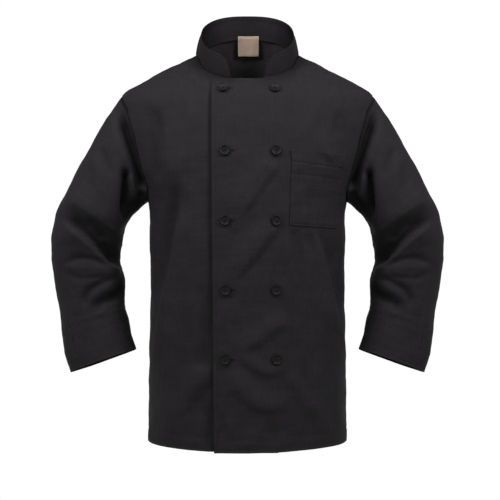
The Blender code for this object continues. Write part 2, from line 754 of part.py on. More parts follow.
def wall(name, points, normals, thickness, closed=False, side=1.0):
    """Closed wall whose outer face is the grid and whose inner face lies a thickness behind it."""
    flip = np.array([side, 1.0, 1.0])
    outer = points * flip
    inner = (points - normals * thickness) * flip
    rows, columns = outer.shape[:2]
    mesh = bmesh.new()
    out = [[mesh.verts.new(p * MM) for p in row] for row in outer]
    back_face = [[mesh.verts.new(p * MM) for p in row] for row in inner]
    last = columns if closed else columns - 1
    for r in range(rows - 1):
        for c in range(last):
            n = (c + 1) % columns
            mesh.faces.new((out[r][c], out[r][n], out[r + 1][n], out[r + 1][c]))
            mesh.faces.new((back_face[r][c], back_face[r + 1][c], back_face[r + 1][n], back_face[r][n]))
    for c in range(last):
        n = (c + 1) % columns
        mesh.faces.new((out[0][n], out[0][c], back_face[0][c], back_face[0][n]))
        mesh.faces.new((out[-1][c], out[-1][n], back_face[-1][n], back_face[-1][c]))
    if not closed:
        for r in range(rows - 1):
            mesh.faces.new((out[r][0], out[r + 1][0], back_face[r + 1][0], back_face[r][0]))
            mesh.faces.new((out[r + 1][-1], out[r][-1], back_face[r][-1], back_face[r + 1][-1]))
    return finish(name, mesh)


def finish(name, mesh):
    bmesh.ops.recalc_face_normals(mesh, faces=mesh.faces)
    data = bpy.data.meshes.new(name)
    mesh.to_mesh(data)
    mesh.free()
    data.shade_smooth()
    data.set_sharp_from_angle(angle=math.radians(40))
    item = bpy.data.objects.new(name, data)
    bpy.context.scene.collection.objects.link(item)
    return item


# ---------------------------------------------------------------- materials

def material(name, colour, roughness):
    item = bpy.data.materials.new(name)
    item.use_nodes = True
    shader = item.node_tree.nodes["Principled BSDF"]
    shader.inputs["Base Color"].default_value = (*colour, 1.0)
    shader.inputs["Roughness"].default_value = roughness
    shader.inputs["Metallic"].default_value = 0.0
    return item


def main():
    for item in list(bpy.data.objects):
        bpy.data.objects.remove(item, do_unlink=True)
    cloth = material("black_twill", (0.016, 0.015, 0.017), 0.85)
    plastic = material("black_button", (0.010, 0.010, 0.011), 0.35)
    tape = material("label_tape", (0.28, 0.22, 0.18), 0.8)

    pieces = [front_left(), front_right(), back(), collar(), pocket(), pocket_top()]
    for name, side in (("left", 1.0), ("right", -1.0)):
        pieces.append(sleeve("sleeve_" + name, side))
        pieces.append(cuff("cuff_" + name, side))
    for piece in pieces:
        piece.data.materials.append(cloth)
    neck_label().data.materials.append(tape)
    for k, row in enumerate(BUTTONS, start=1):
        for name, x in (("left", row.left_x), ("right", row.right_x)):
            button(f"button_{name}_{k}", x, row.height).data.materials.append(plastic)


main()
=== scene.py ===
# Black double-breasted chef jacket: thin cloth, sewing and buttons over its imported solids.
import math

import bmesh
import bpy
import numpy as np
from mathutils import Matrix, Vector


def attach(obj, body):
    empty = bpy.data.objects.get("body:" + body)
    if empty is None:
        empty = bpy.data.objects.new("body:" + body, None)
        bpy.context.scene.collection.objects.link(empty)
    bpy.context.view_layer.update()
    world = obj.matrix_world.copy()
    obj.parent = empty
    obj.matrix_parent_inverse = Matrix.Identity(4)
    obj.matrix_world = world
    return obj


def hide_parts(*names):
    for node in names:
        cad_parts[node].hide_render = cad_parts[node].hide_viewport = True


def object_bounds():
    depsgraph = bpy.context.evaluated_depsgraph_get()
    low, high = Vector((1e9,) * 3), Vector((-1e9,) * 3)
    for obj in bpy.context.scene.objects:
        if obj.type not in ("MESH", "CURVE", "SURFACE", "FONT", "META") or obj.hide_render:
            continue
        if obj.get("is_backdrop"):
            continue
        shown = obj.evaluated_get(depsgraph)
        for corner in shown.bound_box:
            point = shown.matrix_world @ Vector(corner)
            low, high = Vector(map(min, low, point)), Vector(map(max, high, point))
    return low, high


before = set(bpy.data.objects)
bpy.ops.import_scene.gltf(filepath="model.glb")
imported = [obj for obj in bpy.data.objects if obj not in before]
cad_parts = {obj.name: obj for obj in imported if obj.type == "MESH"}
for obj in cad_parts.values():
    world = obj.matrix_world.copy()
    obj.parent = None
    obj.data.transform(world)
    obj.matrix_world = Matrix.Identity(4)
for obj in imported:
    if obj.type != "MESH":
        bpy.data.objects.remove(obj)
cadLow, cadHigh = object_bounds()
print("frame loaded,", len(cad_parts), "solids")

mm = 0.001  # tables are in millimetres, meshes in metres
fine = 6    # cells of the cloth grid to one of the coarse pattern


# small sums

def smooth(at, marks, values):
    # a smooth curve read through marks, which may run either way
    marks = np.asarray(marks, float)
    values = np.asarray(values, float)
    if marks[0] > marks[-1]:
        marks = marks[::-1]
        values = values[::-1]
    slopes = np.gradient(values, marks)
    at = np.clip(at, marks[0], marks[-1])
    k = np.clip(np.searchsorted(marks, at) - 1, 0, len(marks) - 2)
    span = marks[k + 1] - marks[k]
    t = (at - marks[k]) / span
    start = (1 + 2 * t) * (1 - t) ** 2 * values[k] + t * (1 - t) ** 2 * span * slopes[k]
    end = t * t * (3 - 2 * t) * values[k + 1] + t * t * (t - 1) * span * slopes[k + 1]
    return start + end


def ease(x, low, high):
    t = np.clip((x - low) / (high - low), 0.0, 1.0)
    return t * t * (3 - 2 * t)


def unit(v):
    return v / np.maximum(np.linalg.norm(v, axis=-1, keepdims=True), 1e-12)


def hump(x, width):
    return np.exp(-(x / width) ** 2)


def power(base, exponent):
    return np.sign(base) * np.abs(base) ** exponent


def evenly(points, count):
    length = np.concatenate([[0.0], np.linalg.norm(np.diff(points, axis=0), axis=1).cumsum()])
    return np.interp(np.linspace(0.0, length[-1], count + 1), length, np.arange(len(points)))


def readAt(marks, values):
    return np.interp(marks, np.arange(len(values)), values)


# the body form: level sections, and the cut drawn on it by girth and height

bodyForm = {
    "height": [44, 20, 8, 0, -4, -12, -25, -50, -80, -120, -170, -220, -280, -350, -450, -560, -740],
    "halfWidth": [69.0, 82.5, 90.0, 96.5, 103.0, 119.5, 145.0, 193.5, 238.0, 241.5, 231.0, 214.5, 188.5,
                  185.8, 184.0, 186.0, 187.8],
    "front": [0.8, 0.8, 0.9, 1.5, 11.4, 24.8, 43.8, 74.6, 99.0, 114.0, 124.5, 131.0, 134.5,
              135.5, 134.5, 134.0, 136.0],
    "rear": [63.0, 80.0, 87.0, 91.0, 92.2, 94.2, 97.0, 101.0, 105.0, 109.0, 112.0, 112.5, 111.0,
             108.0, 105.0, 108.0, 112.0],
    "squareness": [2.0, 2.0, 2.0, 2.0, 2.0, 2.0, 2.0, 2.0, 2.08, 2.15, 2.22, 2.28, 2.3, 2.3, 2.3, 2.3, 2.3],
    "centreY": 6.0,
}

bodyCut = {
    "hemSide": -731.5,
    "hemFront": -737.5,
    "hemRear": -733.0,
    "hemSweep": 1.3,               # how soon the front hem lifts from its middle level
    "armpit": -279.0,
    "shoulderTip": -80.0,
    "frontTop": -57.0,
    "neckRear": (70.0, 42.0),      # y and z of the neck seam at the back
    "neckSlope": 0.6759,
    "edgeTop": 65.0,               # free edge of the overlap past the centre line, at the neck
    "edgeHem": 58.5,               # and at the hem
    "holeHeight": [-279.0, -275.5, -263.0, -240.0, -214.0, -190.0, -149.0, -110.0, -87.0, -80.0],
    "holeFront": [0.0, 11.5, 19.0, 23.6, 25.8, 26.4, 26.4, 22.6, 14.0, 0.0],
    "holeRear": [0.0, 11.0, 17.5, 21.5, 23.4, 24.0, 24.0, 21.0, 13.0, 0.0],
    "rowsBelow": 16,
    "rowsHole": 10,
    "columnsTop": 4,
    "columnsNeck": 7,
    "columnsShoulder": 6,
    "evening": 8,                  # rounds that even the grid out
    "extraLines": [0.12, 0.3, 0.55, 1.4],    # more lines at an edge, in cells
    "hemTurn": 22.5,               # depth of the turned hem
    "hemThick": 0.7,
    "hemStitch": (0.75, 2.4),      # depth and half width of its stitching's groove
    # rise and length of the puckers, how they wander and over what length, and how far they reach
    "hemPucker": (0.22, 2.3, 1.4, 17.0, 9.0),
    "seamPucker": (0.2, 2.1, 1.7, 19.0, 8.0),
    "hemStep": 1.5,                # half width of the step where the turned hem ends
    "highlightSpread": 0.7,           # half width of the painted highlight line, as a share of its distance from the fold
    "seamTurn": (-0.25, 0.05),     # how squarely two walls meet where one takes the other's way out
    "seamWidth": 2.2,
    "wall": 1.1,
}

overlap = {
    "rise": 2.7,
    "fade": (66.0, 90.0),
    "stitchIn": 6.0,               # the stitching along the free edge
    "stitchSink": 0.45,
    "stitchWidth": 2.2,
    "topStitchEnd": -37.0,
    "underInset": 3.0,
    "underInsetFrom": (0.6, 1.0),
    "underDrop": 2.0,
    "underSink": 1.0,
    # the free edge stands away from the front below it more in places: height, lift
    "lift": [(-57, 0.4), (-120, 1.2), (-200, 1.5), (-290, 2.4), (-380, 2.0), (-470, 2.8), (-530, 3.6),
             (-575, 2.0), (-620, 3.2), (-690, 4.0), (-739, 3.4)],
    "liftWidth": 9.0,
    "underDip": 3.2,               # the front below sinks beside it
    "underDipAway": 1.5,
    "underDipWidth": 5.0,
    "underDipFrom": (62.0, 90.0),
}


def formValue(name, height):
    return smooth(height, bodyForm["height"], bodyForm[name])


def atTurn(turn, height, rear):
    # a point of the form at a turn in degrees from the side seam
    turn = np.radians(turn)
    bend = 2.0 / formValue("squareness", height)
    own = formValue("rear" if rear else "front", height)
    other = formValue("front" if rear else "rear", height)
    x = formValue("halfWidth", height) * power(np.cos(turn), bend)
    sine = power(np.sin(turn), bend)
    away = np.where(sine >= 0, own, other) * sine
    y = bodyForm["centreY"] + (away if rear else -away)
    return np.stack([x, y, height + 0 * x], axis=-1)


def girthOfTurn(turn, height, rear):
    turn = np.asarray(turn, float)
    height = np.asarray(height, float)
    turns = 90.0 + (turn[..., None] - 90.0) * np.linspace(0.0, 1.0, 41)
    line = atTurn(turns, height[..., None] + 0 * turns, rear)
    return np.linalg.norm(np.diff(line, axis=-2), axis=-1).sum(axis=-1)


def onForm(girth, height, rear):
    # the point of the form at a girth from the centre line; negative on the -X side
    shape = np.broadcast(girth, height).shape
    girth = np.broadcast_to(girth, shape).ravel()
    height = np.broadcast_to(height, shape).ravel()
    turns = np.linspace(90.0, -60.0, 101)
    line = atTurn(turns[None, :], height[:, None], rear)
    length = np.linalg.norm(np.diff(line, axis=1), axis=-1).cumsum(axis=1)
    length = np.concatenate([np.zeros((len(height), 1)), length], axis=1)
    k = np.clip((length < np.abs(girth)[:, None]).sum(axis=1) - 1, 0, len(turns) - 2)
    row = np.arange(len(height))
    part = (np.abs(girth) - length[row, k]) / (length[row, k + 1] - length[row, k])
    point = atTurn(turns[k] + part * (turns[1] - turns[0]), height, rear)
    point[:, 0] *= np.where(girth < 0, -1.0, 1.0)
    return point.reshape(shape + (3,))


def formNormal(girth, height, rear):
    along = onForm(girth + 1.0, height, rear) - onForm(girth - 1.0, height, rear)
    up = onForm(girth, height + 1.0, rear) - onForm(girth, height - 1.0, rear)
    normal = unit(np.cross(along, up))
    return -normal if rear else normal


def neckHeight(turn, rear):
    # where a turn of the form meets the plane of the neck seam
    seamY, seamZ = bodyCut["neckRear"]
    low = np.full(np.shape(turn), bodyCut["frontTop"] - 5.0)
    high = np.full(np.shape(turn), seamZ + 1.5)
    for _ in range(40):
        middle = (low + high) / 2
        plane = seamZ - bodyCut["neckSlope"] * (seamY - atTurn(turn, middle, rear)[..., 1])
        low = np.where(middle < plane, middle, low)
        high = np.where(middle < plane, high, middle)
    return (low + high) / 2


def collarEndTurn():
    top = bodyCut["frontTop"]
    share = collarBand["endX"] / formValue("halfWidth", top)
    return math.degrees(math.acos(share ** (formValue("squareness", top) / 2)))


def neckLine(rear, count):
    turns = np.linspace(90.0 if rear else collarEndTurn(), 0.0, 241)
    heights = neckHeight(turns, rear)
    marks = evenly(atTurn(turns, heights, rear), count)
    return readAt(marks, turns), readAt(marks, heights)


def shoulderLine(rear, count):
    top = float(neckHeight(np.array(0.0), rear))
    heights = np.linspace(top, bodyCut["shoulderTip"], 161)
    return readAt(evenly(atTurn(0 * heights, heights, rear), count), heights)


def armholeLine(rear, count):
    marks = np.arange(len(bodyCut["holeHeight"]))
    steps = np.linspace(0, marks[-1], 361)
    turns = np.maximum(smooth(steps, marks, bodyCut["holeRear" if rear else "holeFront"]), 0.0)
    heights = smooth(steps, marks, bodyCut["holeHeight"])
    marks = evenly(atTurn(turns, heights, rear), count)
    return readAt(marks, turns), readAt(marks, heights)


def seenGirth(x, height, rear):
    # the girth of the point that lies at x, seen square on
    share = np.clip(np.abs(x) / formValue("halfWidth", height), 0, 1)
    turn = np.degrees(np.arccos(share ** (formValue("squareness", height) / 2)))
    return girthOfTurn(turn, height, rear) * np.sign(x + 1e-9)


# creases: each is a line seen from the front or the rear, a soft ridge or (below zero) a trough

# rise and width in mm, the width of both flanks or of the left and the right one along the line;
# crisp sharpens the crown, and fade is the share of each end over which it dies away
def crease(rise, width, *line, rear=False, crisp=False, fade=(0.25, 0.25)):
    return {"rise": rise, "width": width, "line": line, "rear": rear, "crisp": crisp, "fade": fade}


bodyCreases = [
    # the largest, which the solids have too
    crease(5.0, 17, (-112, -270), (-132, -390), (-156, -520), (-170, -580)),
    crease(-5.0, 15, (-126, -252), (-148, -370), (-170, -470)),
    crease(4.5, 17, (124, -345), (144, -440), (165, -545)),
    crease(-4.0, 15, (142, -345), (162, -430), (180, -500)),
    crease(-4.0, 17, (-181, -105), (-172, -160), (-152, -210)),
    crease(-4.0, 17, (181, -105), (172, -160), (152, -205)),
    crease(-5.0, 20, (-176, -110), (-160, -180), (-168, -262), rear=True),
    crease(-5.0, 20, (174, -115), (158, -190), (168, -266), rear=True),
    crease(5.0, 22, (-120, -250), (-135, -400), (-160, -560), rear=True),
    crease(5.0, 22, (116, -265), (138, -420), (156, -585), rear=True),
    crease(-4.0, 20, (-60, -420), (-5, -470), (70, -455), rear=True),
    # crowns of the two long side folds, steep on their outer flank, and the hollows outside them
    crease(3.4, (11, 4), (-115, -262), (-127, -330), (-139, -395), (-149, -455), (-160, -508),
           (-173, -565), crisp=True),
    crease(-4.6, (7, 18), (-121, -242), (-134, -292), (-146, -350), (-157, -420)),
    crease(3.4, (4, 11), (118, -316), (138, -385), (151, -447), (167, -540), crisp=True),
    crease(-3.0, (16, 7), (130, -332), (146, -372), (158, -412)),
    # the breast hangs over the hollow beside each armhole
    crease(4.0, (30, 13), (-180, -150), (-156, -196), (-118, -244)),
    crease(-3.5, (14, 10), (-178, -146), (-172, -196), (-164, -250)),
    crease(4.0, (12, 26), (178, -150), (161, -188), (140, -212)),
    crease(-2.4, 7, (-170, -106), (-162, -146), (-154, -180)),
    crease(-1.5, 8, (-124, -86), (-119, -118), (-122, -156)),
    crease(1.6, 12, (-96, -84), (-104, -124), (-112, -170)),
    crease(1.8, 16, (-98, -240), (-94, -320), (-92, -410)),
    crease(-1.6, 8, (172, -112), (160, -150), (150, -178)),
    crease(1.3, 11, (118, -92), (112, -136), (104, -176)),
    crease(-1.2, 9, (146, -96), (138, -130), (134, -160)),
    # slack across the overlap, from the right breast down to the left: each falls off steeply below
    crease(4.6, (13, 28), (56, -212), (34, -238), (8, -278), (-24, -316)),
    crease(-1.8, 7, (60, -226), (40, -250), (16, -288), (-12, -322)),
    crease(-1.4, 14, (20, -308), (-8, -334), (-40, -352)),
    crease(4.4, (12, 26), (54, -322), (33, -350), (4, -388), (-26, -424)),
    crease(-2.0, 7, (60, -334), (41, -360), (12, -398), (-16, -432)),
    crease(-1.4, 11, (60, -462), (22, -507), (4, -524)),
    crease(5.4, (12, 24), (78, -492), (46, -514), (14, -536), (-28, -558)),
    crease(4.8, (15, 10), (-24, -554), (6, -578), (40, -592), (74, -580)),
    crease(6.0, (22, 13), (-40, -572), (-16, -616), (12, -646), (42, -654), (76, -636)),
    crease(4.4, (18, 10), (68, -590), (94, -628), (122, -680)),
    crease(-2.2, 10, (24, -690), (52, -700), (84, -694)),
    crease(-2.0, 8, (-48, -660), (-44, -690), (-50, -716)),
    crease(1.8, 12, (14, -690), (6, -712), (8, -730)),
    # the right front by the free edge, and its foot
    crease(-3.8, (12, 20), (-66, -380), (-69, -460), (-71, -530), (-84, -596), fade=(0.6, 0.12)),
    crease(-2.4, (14, 10), (-62, -610), (-88, -646), (-116, -684)),
    crease(4.2, (14, 26), (-62, -572), (-90, -614), (-117, -648), (-146, -704)),
    crease(2.2, (12, 9), (-80, -664), (-88, -700), (-94, -736)),
    crease(-2.4, 9, (-68, -640), (-70, -690), (-72, -734)),
    crease(-1.4, 11, (-112, -470), (-116, -540), (-132, -610)),
    crease(1.4, 12, (-104, -400), (-96, -470), (-100, -540)),
    # below the pocket
    crease(1.6, 5, (70, -336), (76, -384), (92, -460)),
    crease(-3.0, (11, 7), (80, -336), (96, -374), (108, -430), fade=(0.1, 0.4)),
    crease(2.0, 9, (92, -338), (108, -390), (118, -456)),
    crease(-2.8, (6, 10), (110, -338), (128, -396), (144, -470), fade=(0.15, 0.3)),
    crease(-2.0, 12, (140, -480), (150, -550), (152, -620)),
    crease(1.6, 14, (128, -560), (124, -640), (134, -706)),
    crease(-1.8, 12, (110, -560), (108, -640), (120, -715)),
    # hem and sides
    crease(2.0, 14, (-152, -600), (-148, -670), (-156, -728)),
    crease(-1.8, 12, (-130, -606), (-128, -650), (-120, -700)),
    crease(-1.8, 10, (162, -600), (157, -670), (165, -728)),
    # the back
    crease(-3.6, 12, (-118, -92), (-108, -150), (-126, -214), rear=True),
    crease(-3.3, 12, (122, -96), (110, -156), (124, -222), rear=True),
    crease(2.7, 12, (-96, -120), (-84, -190), (-88, -260), rear=True),
    crease(2.4, 12, (92, -128), (82, -204), (90, -274), rear=True),
    crease(2.7, 6, (-122, -270), (-136, -400), (-158, -540), crisp=True, rear=True),
    crease(2.7, 6, (118, -284), (138, -420), (154, -566), crisp=True, rear=True),
    crease(-3.6, 13, (-136, -280), (-154, -400), (-172, -520), rear=True),
    crease(-3.6, 13, (136, -300), (156, -420), (172, -540), rear=True),
    crease(-3.9, 13, (-92, -330), (-40, -380), (20, -392), rear=True),
    crease(3.0, 12, (-80, -366), (-20, -420), (50, -424), rear=True),
    crease(-3.6, 12, (88, -352), (46, -404), (-6, -430), rear=True),
    crease(-3.3, 12, (-70, -500), (-20, -536), (40, -534), rear=True),
    crease(3.3, 18, (-66, -540), (-58, -640), (-70, -726), rear=True),
    crease(-3.0, 16, (-22, -560), (-14, -650), (-20, -728), rear=True),
    crease(3.0, 18, (46, -548), (52, -640), (44, -728), rear=True),
    crease(-3.0, 16, (92, -560), (96, -650), (104, -728), rear=True),
    crease(-2.7, 14, (-112, -590), (-116, -660), (-110, -726), rear=True),
]

# the sleeves fall alike on the two sides, so one table serves both; x is out from the middle
sleeveCreases = [
    # elbow break: the upper arm hangs over, the cloth dives behind, and the forearm's edge stands proud
    crease(8.0, (10, 34), (354, -282), (314, -288), (286, -306), (256, -330), (232, -346)),
    crease(-10.0, (6, 18), (352, -306), (316, -328), (286, -354), (260, -386), (242, -402)),
    crease(7.5, (26, 6), (356, -314), (322, -340), (291, -368), (266, -398), (250, -412), (234, -420)),
    crease(2.2, (6, 3), (352, -314), (322, -338), (291, -366), (266, -396), (250, -410), (236, -418),
           crisp=True),
    crease(-3.0, 9, (300, -312), (278, -332), (262, -356)),
    crease(2.4, 6, (306, -328), (286, -346), (266, -372)),
    # spindle-shaped fold below it, outlined over and under
    crease(2.2, 9, (350, -406), (309, -404), (264, -412)),
    crease(-2.8, (4, 7), (346, -401), (318, -389), (289, -391), (260, -408)),
    crease(-2.4, 5, (344, -414), (316, -424), (286, -424), (260, -416)),
    # two hooks that run in from the inner edge
    crease(-6.0, (9, 5), (234, -422), (264, -430), (290, -446), (304, -464), (296, -478)),
    crease(2.4, 8, (242, -440), (272, -454), (290, -466)),
    crease(-9.0, (15, 7), (226, -446), (252, -462), (276, -474), (268, -488), fade=(0.1, 0.3)),
    crease(3.0, (14, 6), (232, -496), (262, -495), (292, -489)),
    # the cloth dives along the armhole, and a tuck hangs from it
    crease(-15.0, (9, 9), (240, -106), (231, -140), (216, -178), (202, -220), (191, -262), fade=(0.3, 0.1)),
    crease(5.0, (22, 8), (254, -104), (246, -150), (233, -192), (226, -226)),
    crease(-14.0, (5, 9), (228, -218), (229, -256), (236, -320)),
    crease(4.0, (20, 6), (240, -200), (240, -256), (246, -330)),
    crease(5.5, 6, (221, -228), (213, -254), (205, -280)),
    crease(-5.0, 8, (192, -262), (204, -280), (226, -306)),
    # slack of the upper sleeve
    crease(-3.0, 8, (276, -176), (262, -208), (250, -238)),
    crease(2.2, 9, (284, -178), (276, -230), (268, -286)),
    crease(-2.0, 9, (296, -204), (290, -252), (298, -290)),
    crease(-1.6, 8, (258, -124), (262, -150), (272, -172)),
    # forearm and cuff
    crease(-2.2, 9, (322, -478), (318, -520), (312, -552)),
    crease(2.0, 10, (340, -450), (336, -510), (328, -570)),
    crease(-3.0, 9, (246, -480), (234, -520), (222, -552)),
    crease(2.0, 9, (270, -490), (260, -530), (250, -566)),
    crease(-1.6, 8, (300, -500), (292, -540), (284, -570)),
    # rear of the sleeve
    crease(-7.0, 17, (232, -130), (220, -185), (200, -240), rear=True),
    crease(-8.0, (10, 16), (250, -330), (290, -352), (340, -350), rear=True),
    crease(8.0, (8, 18), (246, -372), (292, -392), (350, -380), rear=True),
    crease(-6.0, 12, (244, -430), (292, -440), (342, -424), rear=True),
    crease(-4.0, 9, (226, -134), (214, -190), (198, -238), rear=True),
    crease(3.0, 9, (342, -300), (300, -308), (262, -290), rear=True),
    crease(-3.0, 10, (280, -180), (268, -226), (274, -272), rear=True),
    crease(3.0, 10, (254, -160), (246, -214), (240, -262), rear=True),
    crease(-4.5, 9, (342, -452), (300, -470), (250, -462), rear=True),
    crease(3.0, 9, (336, -474), (300, -490), (262, -484), rear=True),
    crease(-2.4, 10, (318, -510), (306, -548), (300, -570), rear=True),
]

# the hand of the cloth: slow waves that keep every panel a little uneven (rise, length, heading, phase)
clothWaves = [(0.42, 97, 12, 0.3), (0.36, 68, 74, 1.9), (0.28, 51, 133, 4.1), (0.2, 37, 41, 2.6),
              (0.14, 23, 96, 5.2), (0.12, 19, 164, 0.9)]


foldForm = {
    "crisp": (0.12, 0.346, 1.6),    # a crisp crown's roundness, its root, and how steeply it falls away
    "facing": (0.05, 0.5),          # a fold dies out where the cloth turns from this side
    "bodyCreaseShade": 0.028,              # painted shade for each millimetre of rise: painted light on crowns, painted shade in hollows
    "sleeveCreaseShade": 0.042,
    "shadeLimits": (-0.5, 0.05),
    # how the slow waves wander: reach and length up the cloth, then across it
    "wander": (9.0, 61.0, 7.0, 47.0),
}


def creaseRise(fold, x, z):
    points = np.array(fold["line"], float)
    marks = np.arange(len(points))
    steps = 5 * (len(points) - 1)
    at = np.linspace(0, marks[-1], steps + 1)
    if len(points) > 2:
        line = np.stack([smooth(at, marks, points[:, 0]), smooth(at, marks, points[:, 1])], axis=1)
    else:
        line = np.stack([np.interp(at, marks, points[:, 0]), np.interp(at, marks, points[:, 1])], axis=1)
    leftWidth, rightWidth = fold["width"] if isinstance(fold["width"], tuple) else (fold["width"],) * 2
    nearest = np.full(np.shape(x), 1e9)
    along = np.zeros(np.shape(x))
    width = np.full(np.shape(x), float(leftWidth))
    for k in range(steps):
        start = line[k]
        run = line[k + 1] - start
        t = np.clip(((x - start[0]) * run[0] + (z - start[1]) * run[1]) / (run @ run), 0.0, 1.0)
        away = np.hypot(x - start[0] - t * run[0], z - start[1] - t * run[1])
        left = run[0] * (z - start[1]) - run[1] * (x - start[0])
        along = np.where(away < nearest, (k + t) / steps, along)
        width = np.where(away < nearest, np.where(left > 0, leftWidth, rightWidth), width)
        nearest = np.minimum(away, nearest)
    first, last = fold["fade"]
    taper = ease(along, 0.0, first) * ease(1 - along, 0.0, last)
    away = nearest / width
    if fold["crisp"]:
        crown, crownFoot, steepness = foldForm["crisp"]
        profile = np.exp(-(np.sqrt(away ** 2 + crown) - crownFoot) * steepness)
    else:
        profile = np.exp(-away ** 2)
    return fold["rise"] * taper * profile


def relief(points, normals, creases):
    # how far the creases move each point out
    rise = np.zeros(points.shape[:-1])
    for fold in creases:
        facing = normals[..., 1] if fold["rear"] else -normals[..., 1]
        rise += ease(facing, *foldForm["facing"]) * creaseRise(fold, points[..., 0], points[..., 2])
    return rise


def creaseShade(rise, strength):
    # painted light on the crowns of the creases and painted shade in their hollows
    return 1 + np.clip(rise * strength, *foldForm["shadeLimits"])


def clothWave(across, up):
    rise = np.zeros(np.shape(across))
    upReach, upLength, acrossReach, acrossLength = foldForm["wander"]
    for height, length, heading, phase in clothWaves:
        turn = math.radians(heading)
        along = across * math.cos(turn) + up * math.sin(turn)
        bent = along + upReach * np.sin(up / upLength + phase)
        bent = bent + acrossReach * np.sin(across / acrossLength + 2 * phase)
        rise += height * np.sin(2 * math.pi * bent / length + phase)
    return rise


# body panels

def bodySurface(girth, height, rear):
    # the cloth's face with its creases, and the way out of it
    points = onForm(girth, height, rear)
    normals = formNormal(girth, height, rear)
    rise = relief(points, normals, bodyCreases) + clothWave(girth, height)
    return points + normals * rise[..., None], normals


def bodyShade(girth, height, rear):
    points = onForm(girth, height, rear)
    # painted shade in the creases' hollows and painted light on their crowns
    shade = creaseShade(relief(points, formNormal(girth, height, rear), bodyCreases), foldForm["bodyCreaseShade"])
    # shadow of the standing collar
    foot = collarFoot(24)[0]
    away = np.sqrt(((points[:, :, None] - foot) ** 2).sum(axis=-1).min(axis=-1))
    dark, reach = collarBand["castShade"]
    return shade * (1 - dark * hump(away, reach))


def sideGirth(height, rear):
    return girthOfTurn(0 * np.asarray(height, float), height, rear)


def edgeReach(height):
    # how far past the centre line the overlap's free edge lies
    return np.interp(height, [bodyCut["hemFront"], bodyCut["frontTop"]],
                     [bodyCut["edgeHem"], bodyCut["edgeTop"]])


def edgeGirth(height):
    share = edgeReach(height) / formValue("halfWidth", height)
    turn = np.degrees(np.arccos(share ** (formValue("squareness", height) / 2)))
    return -girthOfTurn(turn, height, False)


def outerEdge(rear):
    seam = np.linspace(bodyCut["hemSide"], bodyCut["armpit"], bodyCut["rowsBelow"] * fine + 1)[:-1]
    turns, hole = armholeLine(rear, bodyCut["rowsHole"] * fine)
    girths = np.concatenate([sideGirth(seam, rear), girthOfTurn(turns, hole, rear)])
    return girths, np.concatenate([seam, hole])


def patch(bottom, top, left, right):
    # a grid between four edges, evened out so that no cell folds over
    u = np.linspace(0, 1, len(bottom))[None, :, None]
    v = np.linspace(0, 1, len(left))[:, None, None]
    grid = (1 - v) * bottom[None] + v * top[None] + (1 - u) * left[:, None] + u * right[:, None]
    grid = grid - ((1 - u) * (1 - v) * bottom[0] + u * (1 - v) * bottom[-1]
                   + (1 - u) * v * top[0] + u * v * top[-1])
    for _ in range(bodyCut["evening"] * fine * fine):
        east, west = grid[1:-1, 2:], grid[1:-1, :-2]
        north, south = grid[2:, 1:-1], grid[:-2, 1:-1]
        along = (east - west) / 2
        upward = (north - south) / 2
        a = (upward ** 2).sum(axis=-1, keepdims=True)
        b = (along * upward).sum(axis=-1, keepdims=True)
        c = (along ** 2).sum(axis=-1, keepdims=True)
        twist = grid[2:, 2:] - grid[2:, :-2] - grid[:-2, 2:] + grid[:-2, :-2]
        grid[1:-1, 1:-1] = (a * (east + west) + c * (north + south) - b * twist / 2) / (2 * (a + c))
    return grid


def closer(grid, rows=(), columns=()):
    # puts more lines near the edges that are named, where the cloth turns or dips
    for axis, edges in ((0, rows), (1, columns)):
        last = grid.shape[axis] - 1
        extra = []
        for edge in edges:
            steps = np.array(bodyCut["extraLines"])
            extra.append(steps if edge == "first" else last - steps)
        at = np.unique(np.concatenate([np.arange(last + 1.0)] + extra))
        k = np.minimum(at.astype(int), last - 1)
        share = (at - k).reshape([-1 if axis == a else 1 for a in range(3)])
        grid = np.take(grid, k, axis) * (1 - share) + np.take(grid, k + 1, axis) * share
    return grid


def hemLevel(girth, rear):
    width = float(sideGirth(bodyCut["hemSide"], rear))
    share = np.clip(np.asarray(girth, float) / width, -1, 1)
    share = share ** 2 if rear else np.sin(math.pi / 2 * np.clip(share, 0, 1)) ** bodyCut["hemSweep"]
    middle = bodyCut["hemRear" if rear else "hemFront"]
    return middle + (bodyCut["hemSide"] - middle) * share


def frontPattern():
    # the front's cut, from its free edge to its side seam, as for the +X side
    columns = (bodyCut["columnsTop"] + bodyCut["columnsNeck"] + bodyCut["columnsShoulder"]) * fine
    rows = (bodyCut["rowsBelow"] + bodyCut["rowsHole"]) * fine
    heights = np.linspace(bodyCut["hemFront"], bodyCut["frontTop"], rows + 1)
    left = np.stack([edgeGirth(heights), heights], axis=-1)
    right = np.stack(outerEdge(False), axis=-1)
    girths = np.linspace(left[0, 0], right[0, 0], columns + 1)
    bottom = np.stack([girths, hemLevel(girths, False)], axis=-1)
    turns, neck = neckLine(False, bodyCut["columnsNeck"] * fine)
    neckGirths = girthOfTurn(turns, neck, False)
    shoulder = shoulderLine(False, bodyCut["columnsShoulder"] * fine)
    straight = np.linspace(left[-1, 0], neckGirths[0], bodyCut["columnsTop"] * fine + 1)[:-1]
    girths = np.concatenate([straight, neckGirths, sideGirth(shoulder, False)[1:]])
    heights = np.concatenate([straight * 0 + bodyCut["frontTop"], neck, shoulder[1:]])
    grid = patch(bottom, np.stack([girths, heights], axis=-1), left, right)
    return closer(grid, rows=("first", "last"), columns=("first", "last"))


